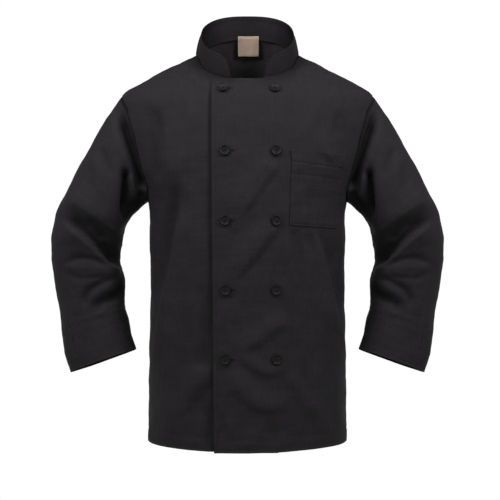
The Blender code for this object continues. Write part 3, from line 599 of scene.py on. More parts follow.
def rearPattern():
    # the back's cut, from side seam to side seam
    girths, heights = outerEdge(True)
    right = np.stack([girths, heights], axis=-1)
    left = right * np.array([-1.0, 1.0])
    columns = (bodyCut["columnsNeck"] + bodyCut["columnsShoulder"]) * fine
    across = girths[0] * np.linspace(-1, 1, 2 * columns + 1)
    bottom = np.stack([across, hemLevel(across, True)], axis=-1)
    turns, neck = neckLine(True, bodyCut["columnsNeck"] * fine)
    shoulder = shoulderLine(True, bodyCut["columnsShoulder"] * fine)
    half = np.stack([np.concatenate([girthOfTurn(turns, neck, True), sideGirth(shoulder, True)[1:]]),
                     np.concatenate([neck, shoulder[1:]])], axis=-1)
    top = np.concatenate([half[:0:-1] * np.array([-1.0, 1.0]), half])
    grid = patch(bottom, top, left, right)
    return closer(grid, rows=("first", "last"), columns=("first", "last"))


def puckers(kind, along, away):
    rise, length, sway, swayLength, reach = bodyCut[kind]
    return rise * np.sin(along / length + sway * np.sin(along / swayLength)) * hump(away, reach)


def hemShape(girth, height, rear):
    # the turned hem is thicker than the cloth above it, and its stitching sinks in
    above = height - hemLevel(girth, rear) - bodyCut["hemTurn"]
    step = bodyCut["hemStep"]
    depth, width = bodyCut["hemStitch"]
    turned = bodyCut["hemThick"] * ease(-above, -step, step)
    return turned - depth * hump(above, width) + puckers("hemPucker", girth, above)


def toEdge(points, side):
    # distance of every grid point from one side of the grid, along the grid
    axis = 0 if side in ("bottom", "top") else 1
    if side in ("top", "right"):
        points = np.flip(points, axis)
    steps = np.linalg.norm(np.diff(points, axis=axis), axis=-1)
    first = np.zeros_like(np.take(steps, [0], axis))
    length = np.concatenate([first, steps.cumsum(axis=axis)], axis=axis)
    return np.flip(length, axis) if side in ("top", "right") else length


def seamDip(points, normals, sides, depth=1.0):
    # sewn edges roll under and pucker a little beside the seam
    for side in sides:
        away = toEdge(points, side)
        along = toEdge(points, "bottom" if side in ("left", "right") else "left")
        dip = depth * hump(away, bodyCut["seamWidth"])
        points = points + normals * (puckers("seamPucker", along, away) - dip)[..., None]
    return points


def highlightLine(points, sides, inward=2.2):
    # 1 along turned edges, a little in from the fold itself, where a painted highlight makes the cloth paler
    worn = np.zeros(points.shape[:2])
    width = bodyCut["highlightSpread"] * inward
    for side in sides:
        worn = np.maximum(worn, hump(toEdge(points, side) - inward, width))
    return worn


def overlapRise(x, height=None, girth=None):
    rise = overlap["rise"] * (1 - ease(x, *overlap["fade"]))
    if girth is not None:
        heights, lifts = np.array(overlap["lift"], float).T
        inward = girth - edgeGirth(height)
        near = hump(np.maximum(inward, 0.0), overlap["liftWidth"])
        rise = rise + smooth(height, heights, lifts) * near
    return rise


def frontSurface(girth, height, over):
    # face of a front as sewn; the one on top runs from the free edge to the +X side
    points, normals = bodySurface(girth if over else -girth, height, False)
    rise = hemShape(girth, height, False)
    if over:
        rise = rise + overlapRise(points[..., 0], height, girth)
        inward = girth - edgeGirth(height) - overlap["stitchIn"]
        rise = rise - overlap["stitchSink"] * hump(inward, overlap["stitchWidth"])
    else:
        x = points[..., 0]
        rise = rise - overlap["underSink"] * ease(x, -bodyCut["edgeHem"], -bodyCut["edgeHem"] / 2)
        beside = hump(x + edgeReach(height) + overlap["underDipAway"], overlap["underDipWidth"])
        rise = rise - overlap["underDip"] * beside * ease(-height, *overlap["underDipFrom"])
    return points + normals * rise[..., None], normals


def backSurface(girth, height):
    points, normals = bodySurface(girth, height, True)
    return points + normals * hemShape(girth, height, True)[..., None], normals


# sleeves and cuffs

sleeveTube = {
    # a ring stands between a point on the outer line and one on the inner line
    "outerX": [238.0, 265.5, 292.5, 319.0, 343.5, 364.0, 373.0, 375.0, 372.0, 366.5, 359.0, 353.5,
               346.5, 335.0],
    "outerZ": [-80.0, -118.5, -163.0, -210.5, -258.0, -298.5, -338.0, -372.5, -406.5, -445.0, -483.0, -527.5,
               -567.5, -603.5],
    "innerX": [188.5, 196.5, 210.5, 223.5, 234.5, 239.0, 243.0, 244.5, 240.5, 233.5, 234.5, 231.5,
               222.5, 212.5],
    "innerZ": [-279.0, -286.5, -298.0, -311.5, -330.5, -353.5, -372.5, -391.5, -409.0, -431.5, -464.0, -487.0,
               -524.5, -560.0],
    "middleY": [6, 8, 10, 12, 15, 18, 20, 21, 20, 17, 13, 7, 1, -5],
    "depth": [58.0, 64.0, 69.0, 72.0, 73.0, 72.5, 70.0, 66.0, 62.0, 58.0, 54.0, 49.0, 45.5, 42.0],
    "lean": [0.0, 0.0, 0.0, 0.0, 0.01, 0.02, 0.03, 0.04, 0.05, 0.06, 0.08, 0.09, 0.09, 0.09],
    "squareness": 2.15,
    "settle": 3.0,
    "cuffStation": 11.0,
    "end": 13.0,
    "around": 132,
    "rings": 17,
    "crowding": 1.15,              # the rings stand closer towards the armhole
    "extraRings": [0.1, 0.25, 0.5],
    "wall": 1.1,
    "seamDip": 0.8,
    "seamFade": 0.35,              # stations over which the creases die out at the armhole
    "cuffFade": 0.6,               # and at the cuff
    "seamShade": (0.55, 0.12),     # painted shade where the cloth turns in to the armhole seam: share, stations
    "waveAt": (0.9, 31.0, 44.0),   # where the slow waves are read: mm to a degree, start, mm to a station
    "waveFade": 0.6,
    "holeReadings": 320,
}

cuffBand = {
    "rise": 0.6,
    "wall": 1.9,
    "slitTurn": 52.0,
    "slitWidth": 1.0,
    "rings": 4,
    "seamDip": 0.7,
    "stitchIn": 4.0,
    "stitchSink": 0.5,
    "stitchWidth": 1.8,
    "wristStitchIn": 6.0,
    "slitStitchIn": 3.0,
    "creaseShare": 0.25,           # of the sleeve's creases that runs on into it
    "creaseFade": (-0.4, 0.8),     # stations before the cuff seam over which they sink to that
}


def stationValue(name, at):
    return smooth(at, np.arange(len(sleeveTube[name])), sleeveTube[name])


def plainRing(at, turn):
    # a ring of the sleeve on the +X side: turn 0 is its outer line, 90 its front
    turn = np.radians(turn)
    bend = 2.0 / sleeveTube["squareness"]
    outer = np.stack([stationValue("outerX", at), 0 * at, stationValue("outerZ", at)], axis=-1)
    inner = np.stack([stationValue("innerX", at), 0 * at, stationValue("innerZ", at)], axis=-1)
    middle = (outer + inner) / 2
    middle[..., 1] = stationValue("middleY", at)
    depth = stationValue("depth", at)
    backWay = np.stack([0 * depth, depth, -depth * stationValue("lean", at)], axis=-1)
    side = power(np.cos(turn), bend)[..., None]
    front = power(np.sin(turn), bend)[..., None]
    return middle + (outer - inner) / 2 * side - backWay * front


def armholeRing():
    # the armhole seam at each turn of the sleeve, with the body's way out
    readings = sleeveTube["holeReadings"]
    turns = np.linspace(0.0, 360.0, 721)
    ring = np.zeros((len(turns), 3))
    ways = np.zeros((len(turns), 3))
    for rear in (False, True):
        share = (360.0 - turns) / 180.0 if rear else turns / 180.0
        mine = turns > 180.0 if rear else turns <= 180.0
        holeTurns, heights = armholeLine(rear, readings)
        steps = np.linspace(0, 1, readings + 1)
        turnAt = np.interp(1 - share[mine], steps, holeTurns)
        heightAt = np.interp(1 - share[mine], steps, heights)
        ring[mine], ways[mine] = bodySurface(girthOfTurn(turnAt, heightAt, rear), heightAt, rear)
    return turns, ring, ways


def readRing(ring, turn):
    turns = np.linspace(0.0, 360.0, len(ring))
    turn = np.asarray(turn, float) % 360.0
    return np.stack([np.interp(turn, turns, ring[:, k]) for k in range(3)], axis=-1)


def bareSleeve(at, turn):
    hold = np.clip(1 - at / sleeveTube["settle"], 0, 1)[..., None] ** 2
    return plainRing(at, turn) + hold * (readRing(holeRing, turn) - plainRing(0 * at, turn))


def sleeveSurface(at, turn):
    step = 0.05
    low = np.clip(at - step, 0, sleeveTube["end"])
    high = np.clip(at + step, 0, sleeveTube["end"])
    points = bareSleeve(at, turn)
    along = bareSleeve(high, turn) - bareSleeve(low, turn)
    around = bareSleeve(at, turn + 1.0) - bareSleeve(at, turn - 1.0)
    normals = unit(np.cross(around, along))
    rise = relief(points, normals, sleeveCreases)
    toCuff = sleeveTube["cuffStation"] - at
    kept = cuffBand["creaseShare"]
    fade = ease(at, 0.0, sleeveTube["seamFade"])
    cuffFade = fade * (kept + (1 - kept) * ease(toCuff, *cuffBand["creaseFade"]))
    fade = fade * ease(toCuff, 0.0, sleeveTube["cuffFade"])
    rise = rise * np.where(at > sleeveTube["cuffStation"] - sleeveTube["cuffFade"], cuffFade, fade)
    perDegree, start, perStation = sleeveTube["waveAt"]
    wave = clothWave(perDegree * turn + start, perStation * at) * ease(at, 0.0, sleeveTube["waveFade"])
    # painted light and shade from the creases, and painted shade along the armhole seam
    dark, reach = sleeveTube["seamShade"]
    shade = creaseShade(rise, foldForm["sleeveCreaseShade"]) * (1 - dark * hump(at, reach))
    return points + normals * (rise + wave)[..., None], normals, shade


def sleeveGrid(first, last, rings, turns):
    rows = np.linspace(0, 1, rings + 1)
    at = first + (last - first) * (rows ** sleeveTube["crowding"] if first == 0 else rows)
    gap = at[1] - at[0]
    extra = np.array(sleeveTube["extraRings"])
    at = np.unique(np.concatenate([at, at[0] + gap * extra, at[-1] - (at[-1] - at[-2]) * extra]))
    return np.meshgrid(at, turns, indexing="ij")


def sleeveMap(turn, points, closed):
    # the weave runs down the sleeve, centred on its outer line
    ring = np.concatenate([points, points[:, :1]], axis=1) if closed else points
    girth = np.linalg.norm(np.diff(ring, axis=1), axis=-1).sum(axis=1)
    down = np.concatenate([[0.0], np.linalg.norm(np.diff(ring.mean(axis=1), axis=0), axis=1).cumsum()])
    turns = np.concatenate([turn, turn[:, :1] + 360.0], axis=1) if closed else turn
    return np.stack([turns / 360.0 * girth[:, None], -down[:, None] + 0 * turns], axis=-1)


def seamNormals(own, neighbour, leaving):
    # at a sewn edge the wall follows its neighbour where the two would meet
    closing = ease(-(leaving * neighbour).sum(axis=-1), *bodyCut["seamTurn"])[..., None]
    return unit(own * (1 - closing) + neighbour * closing)


# collar

collarBand = {
    "halfWidth": 88.0,
    "halfDepth": 69.0,
    "centreY": -3.0,
    "rearZ": 83.0,
    "slope": 0.72,
    "rearSquareness": 2.5,
    "frontSquareness": 2.2,
    "endX": 33.0,
    "corner": 28.0,
    "belly": 1.5,
    "rows": 3,
    "wall": 1.9,
    "stitchIn": 5.0,
    "tuckDown": 3.0,               # its foot goes down behind the neck edge of the panels
    "tuckIn": 1.5,
    "shade": 0.66,                 # painted shade over the whole band
    "innerShade": (0.75, 0.42),    # painted shade on its inside, at the back and towards the front ends
    "innerTurn": (40, 110),        # the way round over which one turns to the other
    "innerFoot": (0.78, 0.26),     # share of that at the foot, and what the top adds
    "castShade": (0.4, 17.0),      # its shadow on the panels
    "thick": 0.5,
    "stitchWidth": 1.8,
    "seamDip": 0.5,
    "stands": 42.0,
    "grooveStep": 0.03,            # rows beside the stitching's groove, as a share of the height
    "tuckMiddle": 0.4,
    "edgeLevels": [0.008, 0.02, 0.035, 0.965, 0.98, 0.992],
    # soft dents of the band: way round from the middle of the back, share of its height, rise, widths
    "dents": [(-150, 0.35, -1.0, 16, 0.5), (128, 0.3, -1.1, 18, 0.5), (-96, 0.6, 0.9, 22, 0.6),
              (88, 0.6, 0.8, 20, 0.6), (-30, 0.5, -0.9, 22, 0.7), (44, 0.45, -0.8, 18, 0.6),
              (6, 0.6, 0.6, 16, 0.6)],
}


def collarFoot(count):
    half, ways = [], []
    for rear in (True, False):
        turns, heights = neckLine(rear, count)
        girths = girthOfTurn(turns, heights, rear)
        if not rear:
            girths, heights = girths[::-1][1:], heights[::-1][1:]
        points, normals = bodySurface(girths, heights, rear)
        half.append(points)
        ways.append(normals)
    half, ways = np.concatenate(half), np.concatenate(ways)
    mirror = np.array([-1.0, 1.0, 1.0])
    return np.concatenate([half[:0:-1] * mirror, half]), np.concatenate([ways[:0:-1] * mirror, ways])


def collarTop(foot):
    band = collarBand
    turn = np.arctan2((foot[:, 1] - band["centreY"]) / band["halfDepth"], foot[:, 0] / band["halfWidth"])
    bend = 2.0 / np.where(turn > 0, band["rearSquareness"], band["frontSquareness"])
    x = band["halfWidth"] * power(np.cos(turn), bend)
    y = band["centreY"] + band["halfDepth"] * power(np.sin(turn), bend)
    z = band["rearZ"] - band["slope"] * (band["centreY"] + band["halfDepth"] - y)
    return np.stack([x, y, z], axis=-1)


def collarSurface(share, count):
    # rows of the band at shares of its height, the front corners rounded off
    band = collarBand
    foot, ways = collarFoot(count)
    top = collarTop(foot)
    length = np.concatenate([[0.0], np.linalg.norm(np.diff(top, axis=0), axis=1).cumsum()])
    toEnd = np.minimum(length, length[-1] - length)
    inside = np.clip(band["corner"] - toEnd, 0.0, band["corner"])
    drop = band["corner"] - np.sqrt(band["corner"] ** 2 - inside ** 2)
    tall = np.linalg.norm(top - foot, axis=-1)
    part = (1 - drop / tall)[None, :, None] * np.asarray(share)[:, None, None]
    points = foot[None] + (top - foot)[None] * part
    around = np.gradient(points, axis=1)
    normals = unit(np.cross(np.broadcast_to((top - foot)[None], points.shape), around))
    belly = band["belly"] * 4 * part * (1 - part)
    way = length - length[-1] / 2
    dent = np.zeros(part.shape[:2])
    for place, level, rise, width, spread in band["dents"]:
        dent += rise * np.exp(-((way[None] - place) / width) ** 2 - ((part[..., 0] - level) / spread) ** 2)
    points = points + normals * (belly + dent[..., None])
    leaving = unit(top - foot)
    normals[0] = seamNormals(normals[0], ways, leaving)
    around = np.stack([way + 0 * part[..., 0], part[..., 0] * tall], axis=-1)
    return points, normals, around


# what lies on the panels

chestPocket = {
    "topInner": (80.0, -212.5),
    "topOuter": (176.0, -223.0),
    "footInner": (75.5, -326.8),
    "footOuter": (162.5, -332.6),
    "stripInner": (77.5, -191.5),
    "stripOuter": (177.5, -197.0),
    "stripGap": 1.5,
    "pressed": 0.8,                # its sewn edges lie lower
    "mouthStand": 1.6,             # the mouth stands open a little
    "lift": 2.4,
    "wall": 1.0,
    "mouthTurn": 20.0,             # depth of the turned mouth
    # soft vertical creases and puffs of the patch: x, z, rise, half widths
    "dents": [(109, -262, 1.3, 5, 22), (105, -308, 1.0, 5, 16), (118, -270, -1.0, 6, 22),
              (92, -268, 0.9, 7, 9), (90, -292, -0.8, 8, 7), (96, -312, 0.9, 8, 8),
              (140, -262, 1.0, 12, 14), (134, -300, 0.8, 12, 14), (150, -244, -0.8, 10, 8)],
    "deepest": -0.9,
    "dentFrom": (2.0, 9.0),        # the dents begin this far in from its sewn edges
    "pressedWidth": 4.0,
    "standFade": 12.0,
    "foldSink": 0.5,               # its mouth's turning: thickness and the groove of its stitching
    "foldWidth": 1.8,
    "stitchIn": 2.6,
    "stitchSink": 0.45,
    "stitchWidth": 1.5,
    "highlightIn": 1.8,
    "stripLift": 2.1,
    "stripStitchIn": 2.4,
    "rows": 48,
    "columns": 40,
    "stripRows": 8,
}

neckTag = {
    "centre": 1.6,
    "halfWidth": 21.5,
    "top": 44.5,
    "foot": 11.5,
    "wall": 0.5,
    "behind": 5.6,                 # inward of the back's face
    "curl": 0.9,                   # its foot curls in
    "curlFrom": (8.0, 27.0),
    "wave": 0.25,
    "waveLength": 5.0,
    "stitchIn": 1.6,
    "rows": 18,
    "columns": 28,
}

jacketButtons = {
    # height of each row, and x of the two columns
    "rows": [(-78.5, -44.0, 49.7), (-193.0, -40.5, 51.6), (-319.0, -39.8, 51.5), (-444.0, -39.2, 51.5),
             (-569.0, -39.2, 52.0)],
    "lift": 1.0,
    # radius and height from the middle of the back round to the middle of the dish
    "profile": [(0.0, 0.0), (7.2, 0.0), (8.6, 0.35), (9.5, 1.1), (9.7, 1.9), (9.4, 2.8), (8.7, 3.35),
                (7.9, 3.35), (7.2, 2.95), (6.6, 2.35), (5.6, 2.05), (0.0, 1.95)],
    "sides": 40,
    "drillLength": 12.0,
    "holeReach": 1.9,
    "holeRadius": 0.85,
    "holeLength": 25.0,            # of a buttonhole
    "holeShift": 4.2,              # its middle lies this far to the +X side of the button
    "holeStep": 1.0,               # its two sides lie this far over and under its middle
    "holeEnd": 1.6,                # half length of the bars across its ends
    "holeLift": 0.15,
    "barLift": 0.25,
    "threadLift": 2.3,
    "threadBow": 0.35,
    "threadPast": 0.3,             # the thread runs this far past the holes
    "edgeShade": (0.85, 8.6, 9.3),  # painted shade at the turned edge, darker colour and less gloss: loss, from and to this radius
    "dishShade": (0.5, 6.4, 0.9),   # and on the wall of the dish: loss, radius, half width
}


def overSurface(x, z, lift=0.0):
    # points over the top front, seen square on, moved out
    girth = seenGirth(x, z, False)
    points, normals = frontSurface(girth, z, True)
    return points + normals * np.asarray(lift)[..., None], normals


def patchOnFront(corners, rows, columns):
    topInner, topOuter, footOuter, footInner = [np.array(corner, float) for corner in corners]
    u = np.linspace(0, 1, columns + 1)[None, :, None]
    v = np.linspace(0, 1, rows + 1)[:, None, None]
    foot = footInner + (footOuter - footInner) * u
    top = topInner + (topOuter - topInner) * u
    return closer(foot + (top - foot) * v, rows=("first", "last"), columns=("first", "last"))


# meshes

blackTwill = {
    "warp": "#161416",
    "weft": "#201e20",
    # paler colour of the painted highlight along turned edges
    "highlightColour": "#252324",
    "insideShade": 0.75,    # painted shade on the inside of every piece
    "rimShade": 0.6,        # painted shade on turned edges, where two layers meet
    "neckPale": (1.6, -40.0, 25.0),    # painted light on the inside of the back round the neck: gain, levels
    "neckDark": (0.4, 28.0, 20.0),     # and lies in shadow in its middle: loss, half width, depth
    "waleMm": 2.4,          # a real wale is 0.9 mm; drawn coarser so that it shows
    "waleTurn": 58,
    "waleShare": 0.25,      # weight of the wale beside the yarns
    "contrast": 0.3,
    "slubMm": 2.4,          # thickness of the uneven yarns
    "slubLengthMm": 18.0,
    "streakMm": 4.5,
    "streakLengthMm": 60.0,
    "streakShare": 0.55,    # weight of the streaks beside the yarns
    "roughness": (0.76, 0.9),
    "specular": 0.103,
    "sheen": 0.004,
}


def linked(name, data):
    item = bpy.data.objects.new(name, data)
    bpy.context.scene.collection.objects.link(item)
    return item


def plainMesh(name, verts, faces, corners, uv, **marks):
    # a closed mesh, its faces turned out
    verts = np.asarray(verts, float) * mm
    faces = np.asarray(faces)
    a, b, c, d = [verts[faces[:, k]] for k in range(4)]
    volume = (a * np.cross(b, c)).sum() + (a * np.cross(c, d)).sum()
    if volume < 0:
        faces = faces[:, ::-1]
        corners = corners[:, ::-1]
    data = bpy.data.meshes.new(name)
    data.from_pydata(verts.tolist(), [], faces.tolist())
    layer = data.uv_layers.new(name="cut")
    layer.data.foreach_set("uv", (uv[corners.ravel()] * mm).astype(np.float32).ravel())
    for label, values in marks.items():
        attribute = data.attributes.new(label, "FLOAT", "POINT")
        attribute.data.foreach_set("value", values.astype(np.float32))
    data.shade_smooth()
    return linked(name, data)


# an open edge is rounded by three rings: share of the way in, and reach out in thicknesses
shellRim = [(0.2, 0.3), (0.5, 0.42), (0.8, 0.3)]


def shell(name, outer, normals, uv, thickness, closed=False, side=1.0, worn=None, shade=1.0, innerShade=None):
    # thin cloth: the grid is its face, its inside lies a wall behind it, and open edges are rounded
    flip = np.array([side, 1.0, 1.0])
    rows, columns = outer.shape[:2]
    wide = uv.shape[1]
    inner = outer - normals * thickness
    if worn is None:
        worn = np.zeros((rows, columns))
    shade = shade + np.zeros((rows, columns))
    if innerShade is None:
        innerShade = np.full((rows, columns), blackTwill["insideShade"])
    index = np.arange(rows * columns).reshape(rows, columns)
    place = np.arange(rows * wide).reshape(rows, wide)
    right = np.roll(index, -1, axis=1) if closed else index[:, 1:]
    here = index if closed else index[:, :-1]
    quads = np.stack([here[:-1], right[:-1], right[1:], here[1:]], axis=-1).reshape(-1, 4)
    marks = np.stack([place[:-1, :-1], place[:-1, 1:], place[1:, 1:], place[1:, :-1]], axis=-1).reshape(-1, 4)
    count = rows * columns
    faces = [quads, quads[:, ::-1] + count]
    corners = [marks, marks[:, ::-1]]
    points = [outer.reshape(-1, 3), inner.reshape(-1, 3)]
    highlightShare = [worn.ravel(), worn.ravel() * 0]
    paintedLightAndShade = [shade.ravel(), innerShade.ravel()]
    total = 2 * count
    if closed:
        loops = [(index[0], place[0], True), (index[-1][::-1], place[-1, :-1][::-1], True)]
    else:
        ring = np.concatenate([index[0, :-1], index[:-1, -1], index[-1, :0:-1], index[:0:-1, 0]])
        loops = [(ring, ring, False)]
    for loop, marked, tube in loops:
        row, column = np.divmod(loop, columns)
        if tube:
            inward = np.clip(row, 1, rows - 2) * columns + column
        else:
            inward = np.clip(row, 1, rows - 2) * columns + np.clip(column, 1, columns - 2)
        edge, behind = outer.reshape(-1, 3)[loop], inner.reshape(-1, 3)[loop]
        away = unit(edge - outer.reshape(-1, 3)[inward])
        for share, reach in shellRim:
            points.append(edge * (1 - share) + behind * share + away * thickness * reach)
            highlightShare.append(worn.ravel()[loop] * (1 - share))
            # painted shade on the rounded rim, where two layers meet
            own = shade.ravel()[loop]
            paintedLightAndShade.append(own + (blackTwill["rimShade"] - own) * min(1.0, 1.6 * share))
        n = len(loop)
        steps = [loop] + [total + k * n + np.arange(n) for k in range(len(shellRim))] + [loop + count]
        flat = marked[:n] if tube else marked
        for low, high in zip(steps, steps[1:]):
            faces.append(np.stack([np.roll(low, -1), low, high, np.roll(high, -1)], axis=-1))
            corners.append(np.stack([np.roll(flat, -1), flat, flat, np.roll(flat, -1)], axis=-1))
        total += len(shellRim) * n
    return plainMesh(name, np.concatenate(points) * flip, np.concatenate(faces), np.concatenate(corners),
                     uv.reshape(-1, 2), worn=np.concatenate(highlightShare), shade=np.concatenate(paintedLightAndShade))


# materials

oneBand = 0.314     # scale of a wave texture that gives one band to a unit


def linear(hexColour):
    # an sRGB hex colour as linear light
    parts = [int(hexColour[k:k + 2], 16) / 255 for k in (1, 3, 5)]
    return tuple(p / 12.92 if p <= 0.04045 else ((p + 0.055) / 1.055) ** 2.4 for p in parts) + (1.0,)


def feed(tree, node, inputs):
    # fills sockets from a value, a socket, or a node's first output
    for name, value in inputs.items():
        if isinstance(value, bpy.types.Node):
            value = value.outputs[0]
        if isinstance(value, bpy.types.NodeSocket):
            tree.links.new(value, node.inputs[name])
        else:
            node.inputs[name].default_value = value


def addNode(tree, kind, inputs=None, **settings):
    node = tree.nodes.new(kind)
    for name, value in settings.items():
        setattr(node, name, value)
    feed(tree, node, inputs or {})
    return node


def newMaterial(name):
    item = bpy.data.materials.new(name)
    item.use_nodes = True
    return item, item.node_tree, item.node_tree.nodes["Principled BSDF"]


def cutInMm(tree):
    # the cloth's own flat coordinates
    uv = addNode(tree, "ShaderNodeUVMap", uv_map="cut")
    return addNode(tree, "ShaderNodeVectorMath", {0: uv, "Scale": 1000.0}, operation="SCALE")


def drawnNoise(tree, flat, wide, tall, detail):
    # noise drawn out into threads of this thickness and length
    drawn = addNode(tree, "ShaderNodeMapping", {"Vector": flat, "Scale": (1 / wide, 1 / tall, 1.0)})
    return addNode(tree, "ShaderNodeTexNoise", {"Vector": drawn, "Scale": 1.0, "Detail": detail})


def makeTwill():
    # piece-dyed poly-cotton twill, dull with a faint nap: dark and even, paler where it turns from the eye
    item, tree, shader = newMaterial("wovenBlackTwill")
    look = blackTwill
    flat = cutInMm(tree)
    turned = addNode(tree, "ShaderNodeMapping", {
        "Vector": flat, "Rotation": (0, 0, math.radians(look["waleTurn"]))})
    wale = addNode(tree, "ShaderNodeTexWave", {
        "Vector": turned, "Scale": oneBand / look["waleMm"], "Distortion": 0.6, "Detail": 1.0,
        "Detail Scale": 3.0}, bands_direction="X")
    warpSlub = drawnNoise(tree, flat, look["slubMm"], look["slubLengthMm"], 2.0)
    weftSlub = drawnNoise(tree, flat, look["slubLengthMm"], look["slubMm"], 2.0)
    yarns = addNode(tree, "ShaderNodeMath", {0: warpSlub, 1: weftSlub}, operation="ADD")
    # broader streaks, where a run of yarns took the dye unevenly
    streaks = (look["streakMm"], look["streakLengthMm"])
    for wide, tall in (streaks, streaks[::-1]):
        streak = drawnNoise(tree, flat, wide, tall, 1.0)
        yarns = addNode(tree, "ShaderNodeMath", {0: streak, 1: look["streakShare"], 2: yarns},
                        operation="MULTIPLY_ADD")
    middle = 1 + look["streakShare"]
    spread = addNode(tree, "ShaderNodeMapRange", {
        "Value": yarns, "From Min": middle - look["contrast"], "From Max": middle + look["contrast"]})
    weave = addNode(tree, "ShaderNodeMath", {0: spread, 1: 1 - look["waleShare"]}, operation="MULTIPLY")
    face = addNode(tree, "ShaderNodeMath", {0: wale.outputs[1], 1: look["waleShare"], 2: weave},
                   operation="MULTIPLY_ADD")
    cloth = addNode(tree, "ShaderNodeMix", {
        "Factor": face, 6: linear(look["warp"]), 7: linear(look["weft"])}, data_type="RGBA")
    # painted highlight: a paler colour mixed in along turned edges
    worn = addNode(tree, "ShaderNodeAttribute", attribute_name="worn")
    highlightShare = addNode(tree, "ShaderNodeMath", {0: worn.outputs["Fac"], 1: spread}, operation="MULTIPLY")
    edge = addNode(tree, "ShaderNodeMix", {
        "Factor": highlightShare, 6: cloth.outputs[2], 7: linear(look["highlightColour"])}, data_type="RGBA")
    # painted light and shade from the shade attribute scale the colour
    shade = addNode(tree, "ShaderNodeAttribute", attribute_name="shade").outputs["Fac"]
    final = addNode(tree, "ShaderNodeVectorMath", {0: edge.outputs[2], "Scale": shade}, operation="SCALE")
    rough = addNode(tree, "ShaderNodeMapRange", {
        "Value": spread, "To Min": look["roughness"][0], "To Max": look["roughness"][1]})
    yarnBump = addNode(tree, "ShaderNodeBump", {"Height": spread, "Strength": 0.35, "Distance": 0.0004})
    waleBump = addNode(tree, "ShaderNodeBump", {
        "Height": wale.outputs[1], "Strength": 0.3, "Distance": 0.0002, "Normal": yarnBump})
    # the painted shade dims gloss and nap along with the colour
    gloss = addNode(tree, "ShaderNodeMath", {0: shade, 1: look["specular"]}, operation="MULTIPLY")
    nap = addNode(tree, "ShaderNodeMath", {0: shade, 1: look["sheen"]}, operation="MULTIPLY")
    feed(tree, shader, {
        "Base Color": final, "Roughness": rough, "Normal": waleBump, "Specular IOR Level": gloss,
        "Sheen Weight": nap, "Sheen Roughness": 0.5, "Sheen Tint": linear("#dcdce2")})
    return item


buttonPlastic = {"body": "#0a0a0b", "swirl": "#131314", "roughness": (0.36, 0.52), "specular": 0.16,
                 "swirlMm": 5.0}


def makeButtonPlastic():
    # moulded polyester, turned and tumbled: nearly black, with a faint cloud and a soft gloss on the rim, and
    # painted shade on its turned edge and the wall of its dish
    item, tree, shader = newMaterial("mouldedPolyesterButton")
    look = buttonPlastic
    where = addNode(tree, "ShaderNodeTexCoord").outputs["Object"]
    cloud = addNode(tree, "ShaderNodeTexNoise", {
        "Vector": where, "Scale": 1000 / look["swirlMm"], "Detail": 3.0, "Distortion": 0.8})
    body = addNode(tree, "ShaderNodeMix", {
        "Factor": cloud, 6: linear(look["body"]), 7: linear(look["swirl"])}, data_type="RGBA")
    # painted shade from the blank darkens colour and gloss at the turned edge and the dish wall
    polish = addNode(tree, "ShaderNodeAttribute", attribute_name="polish").outputs["Fac"]
    face = addNode(tree, "ShaderNodeVectorMath", {0: body.outputs[2], "Scale": polish}, operation="SCALE")
    fineCloud = addNode(tree, "ShaderNodeTexNoise", {"Vector": where, "Scale": 900.0, "Detail": 2.0})
    rough = addNode(tree, "ShaderNodeMapRange", {
        "Value": fineCloud, "To Min": look["roughness"][0], "To Max": look["roughness"][1]})
    bump = addNode(tree, "ShaderNodeBump", {"Height": fineCloud, "Strength": 0.15, "Distance": 0.0002})
    gloss = addNode(tree, "ShaderNodeMath", {0: polish, 1: look["specular"]}, operation="MULTIPLY")
    feed(tree, shader, {"Base Color": face, "Roughness": rough, "Normal": bump, "Specular IOR Level": gloss})
    return item


sewingThread = {"thread": "#111012", "light": "#19181a", "roughness": 0.6, "specular": 0.1}


def makeThread():
    # spun polyester thread: two plies catch a little light along each stitch
    item, tree, shader = newMaterial("spunPolyesterThread")
    look = sewingThread
    where = addNode(tree, "ShaderNodeTexCoord").outputs["Object"]
    plies = addNode(tree, "ShaderNodeTexNoise", {"Vector": where, "Scale": 700.0, "Detail": 2.0})
    colour = addNode(tree, "ShaderNodeMix", {
        "Factor": plies, 6: linear(look["thread"]), 7: linear(look["light"])}, data_type="RGBA")
    bump = addNode(tree, "ShaderNodeBump", {"Height": plies, "Strength": 0.3, "Distance": 0.0002})
    feed(tree, shader, {
        "Base Color": colour.outputs[2], "Normal": bump, "Roughness": look["roughness"],
        "Specular IOR Level": look["specular"]})
    return item


labelSatin = {"ground": "#aa9686", "rib": "#937f71", "ribMm": 1.6, "roughness": 0.55}


def makeLabelSatin():
    # woven satin tape: beige, with fine ribs across it and a slight gloss
    item, tree, shader = newMaterial("wovenSatinTape")
    look = labelSatin
    flat = cutInMm(tree)
    ribs = addNode(tree, "ShaderNodeTexWave", {
        "Vector": flat, "Scale": oneBand / look["ribMm"], "Distortion": 0.4}, bands_direction="Y")
    slub = addNode(tree, "ShaderNodeTexNoise", {"Vector": flat, "Scale": 0.4, "Detail": 3.0})
    uneven = addNode(tree, "ShaderNodeMath", {0: ribs.outputs[1], 1: slub}, operation="MULTIPLY")
    colour = addNode(tree, "ShaderNodeMix", {
        "Factor": uneven, 6: linear(look["ground"]), 7: linear(look["rib"])}, data_type="RGBA")
    bump = addNode(tree, "ShaderNodeBump", {"Height": uneven, "Strength": 0.4, "Distance": 0.0002})
    feed(tree, shader, {"Base Color": colour.outputs[2], "Normal": bump, "Roughness": look["roughness"]})
    return item


twill = makeTwill()
plastic = makeButtonPlastic()
thread = makeThread()
satin = makeLabelSatin()
print("materials made")


# Geometry Nodes: one tree sews a line of stitches, one sets the buttons

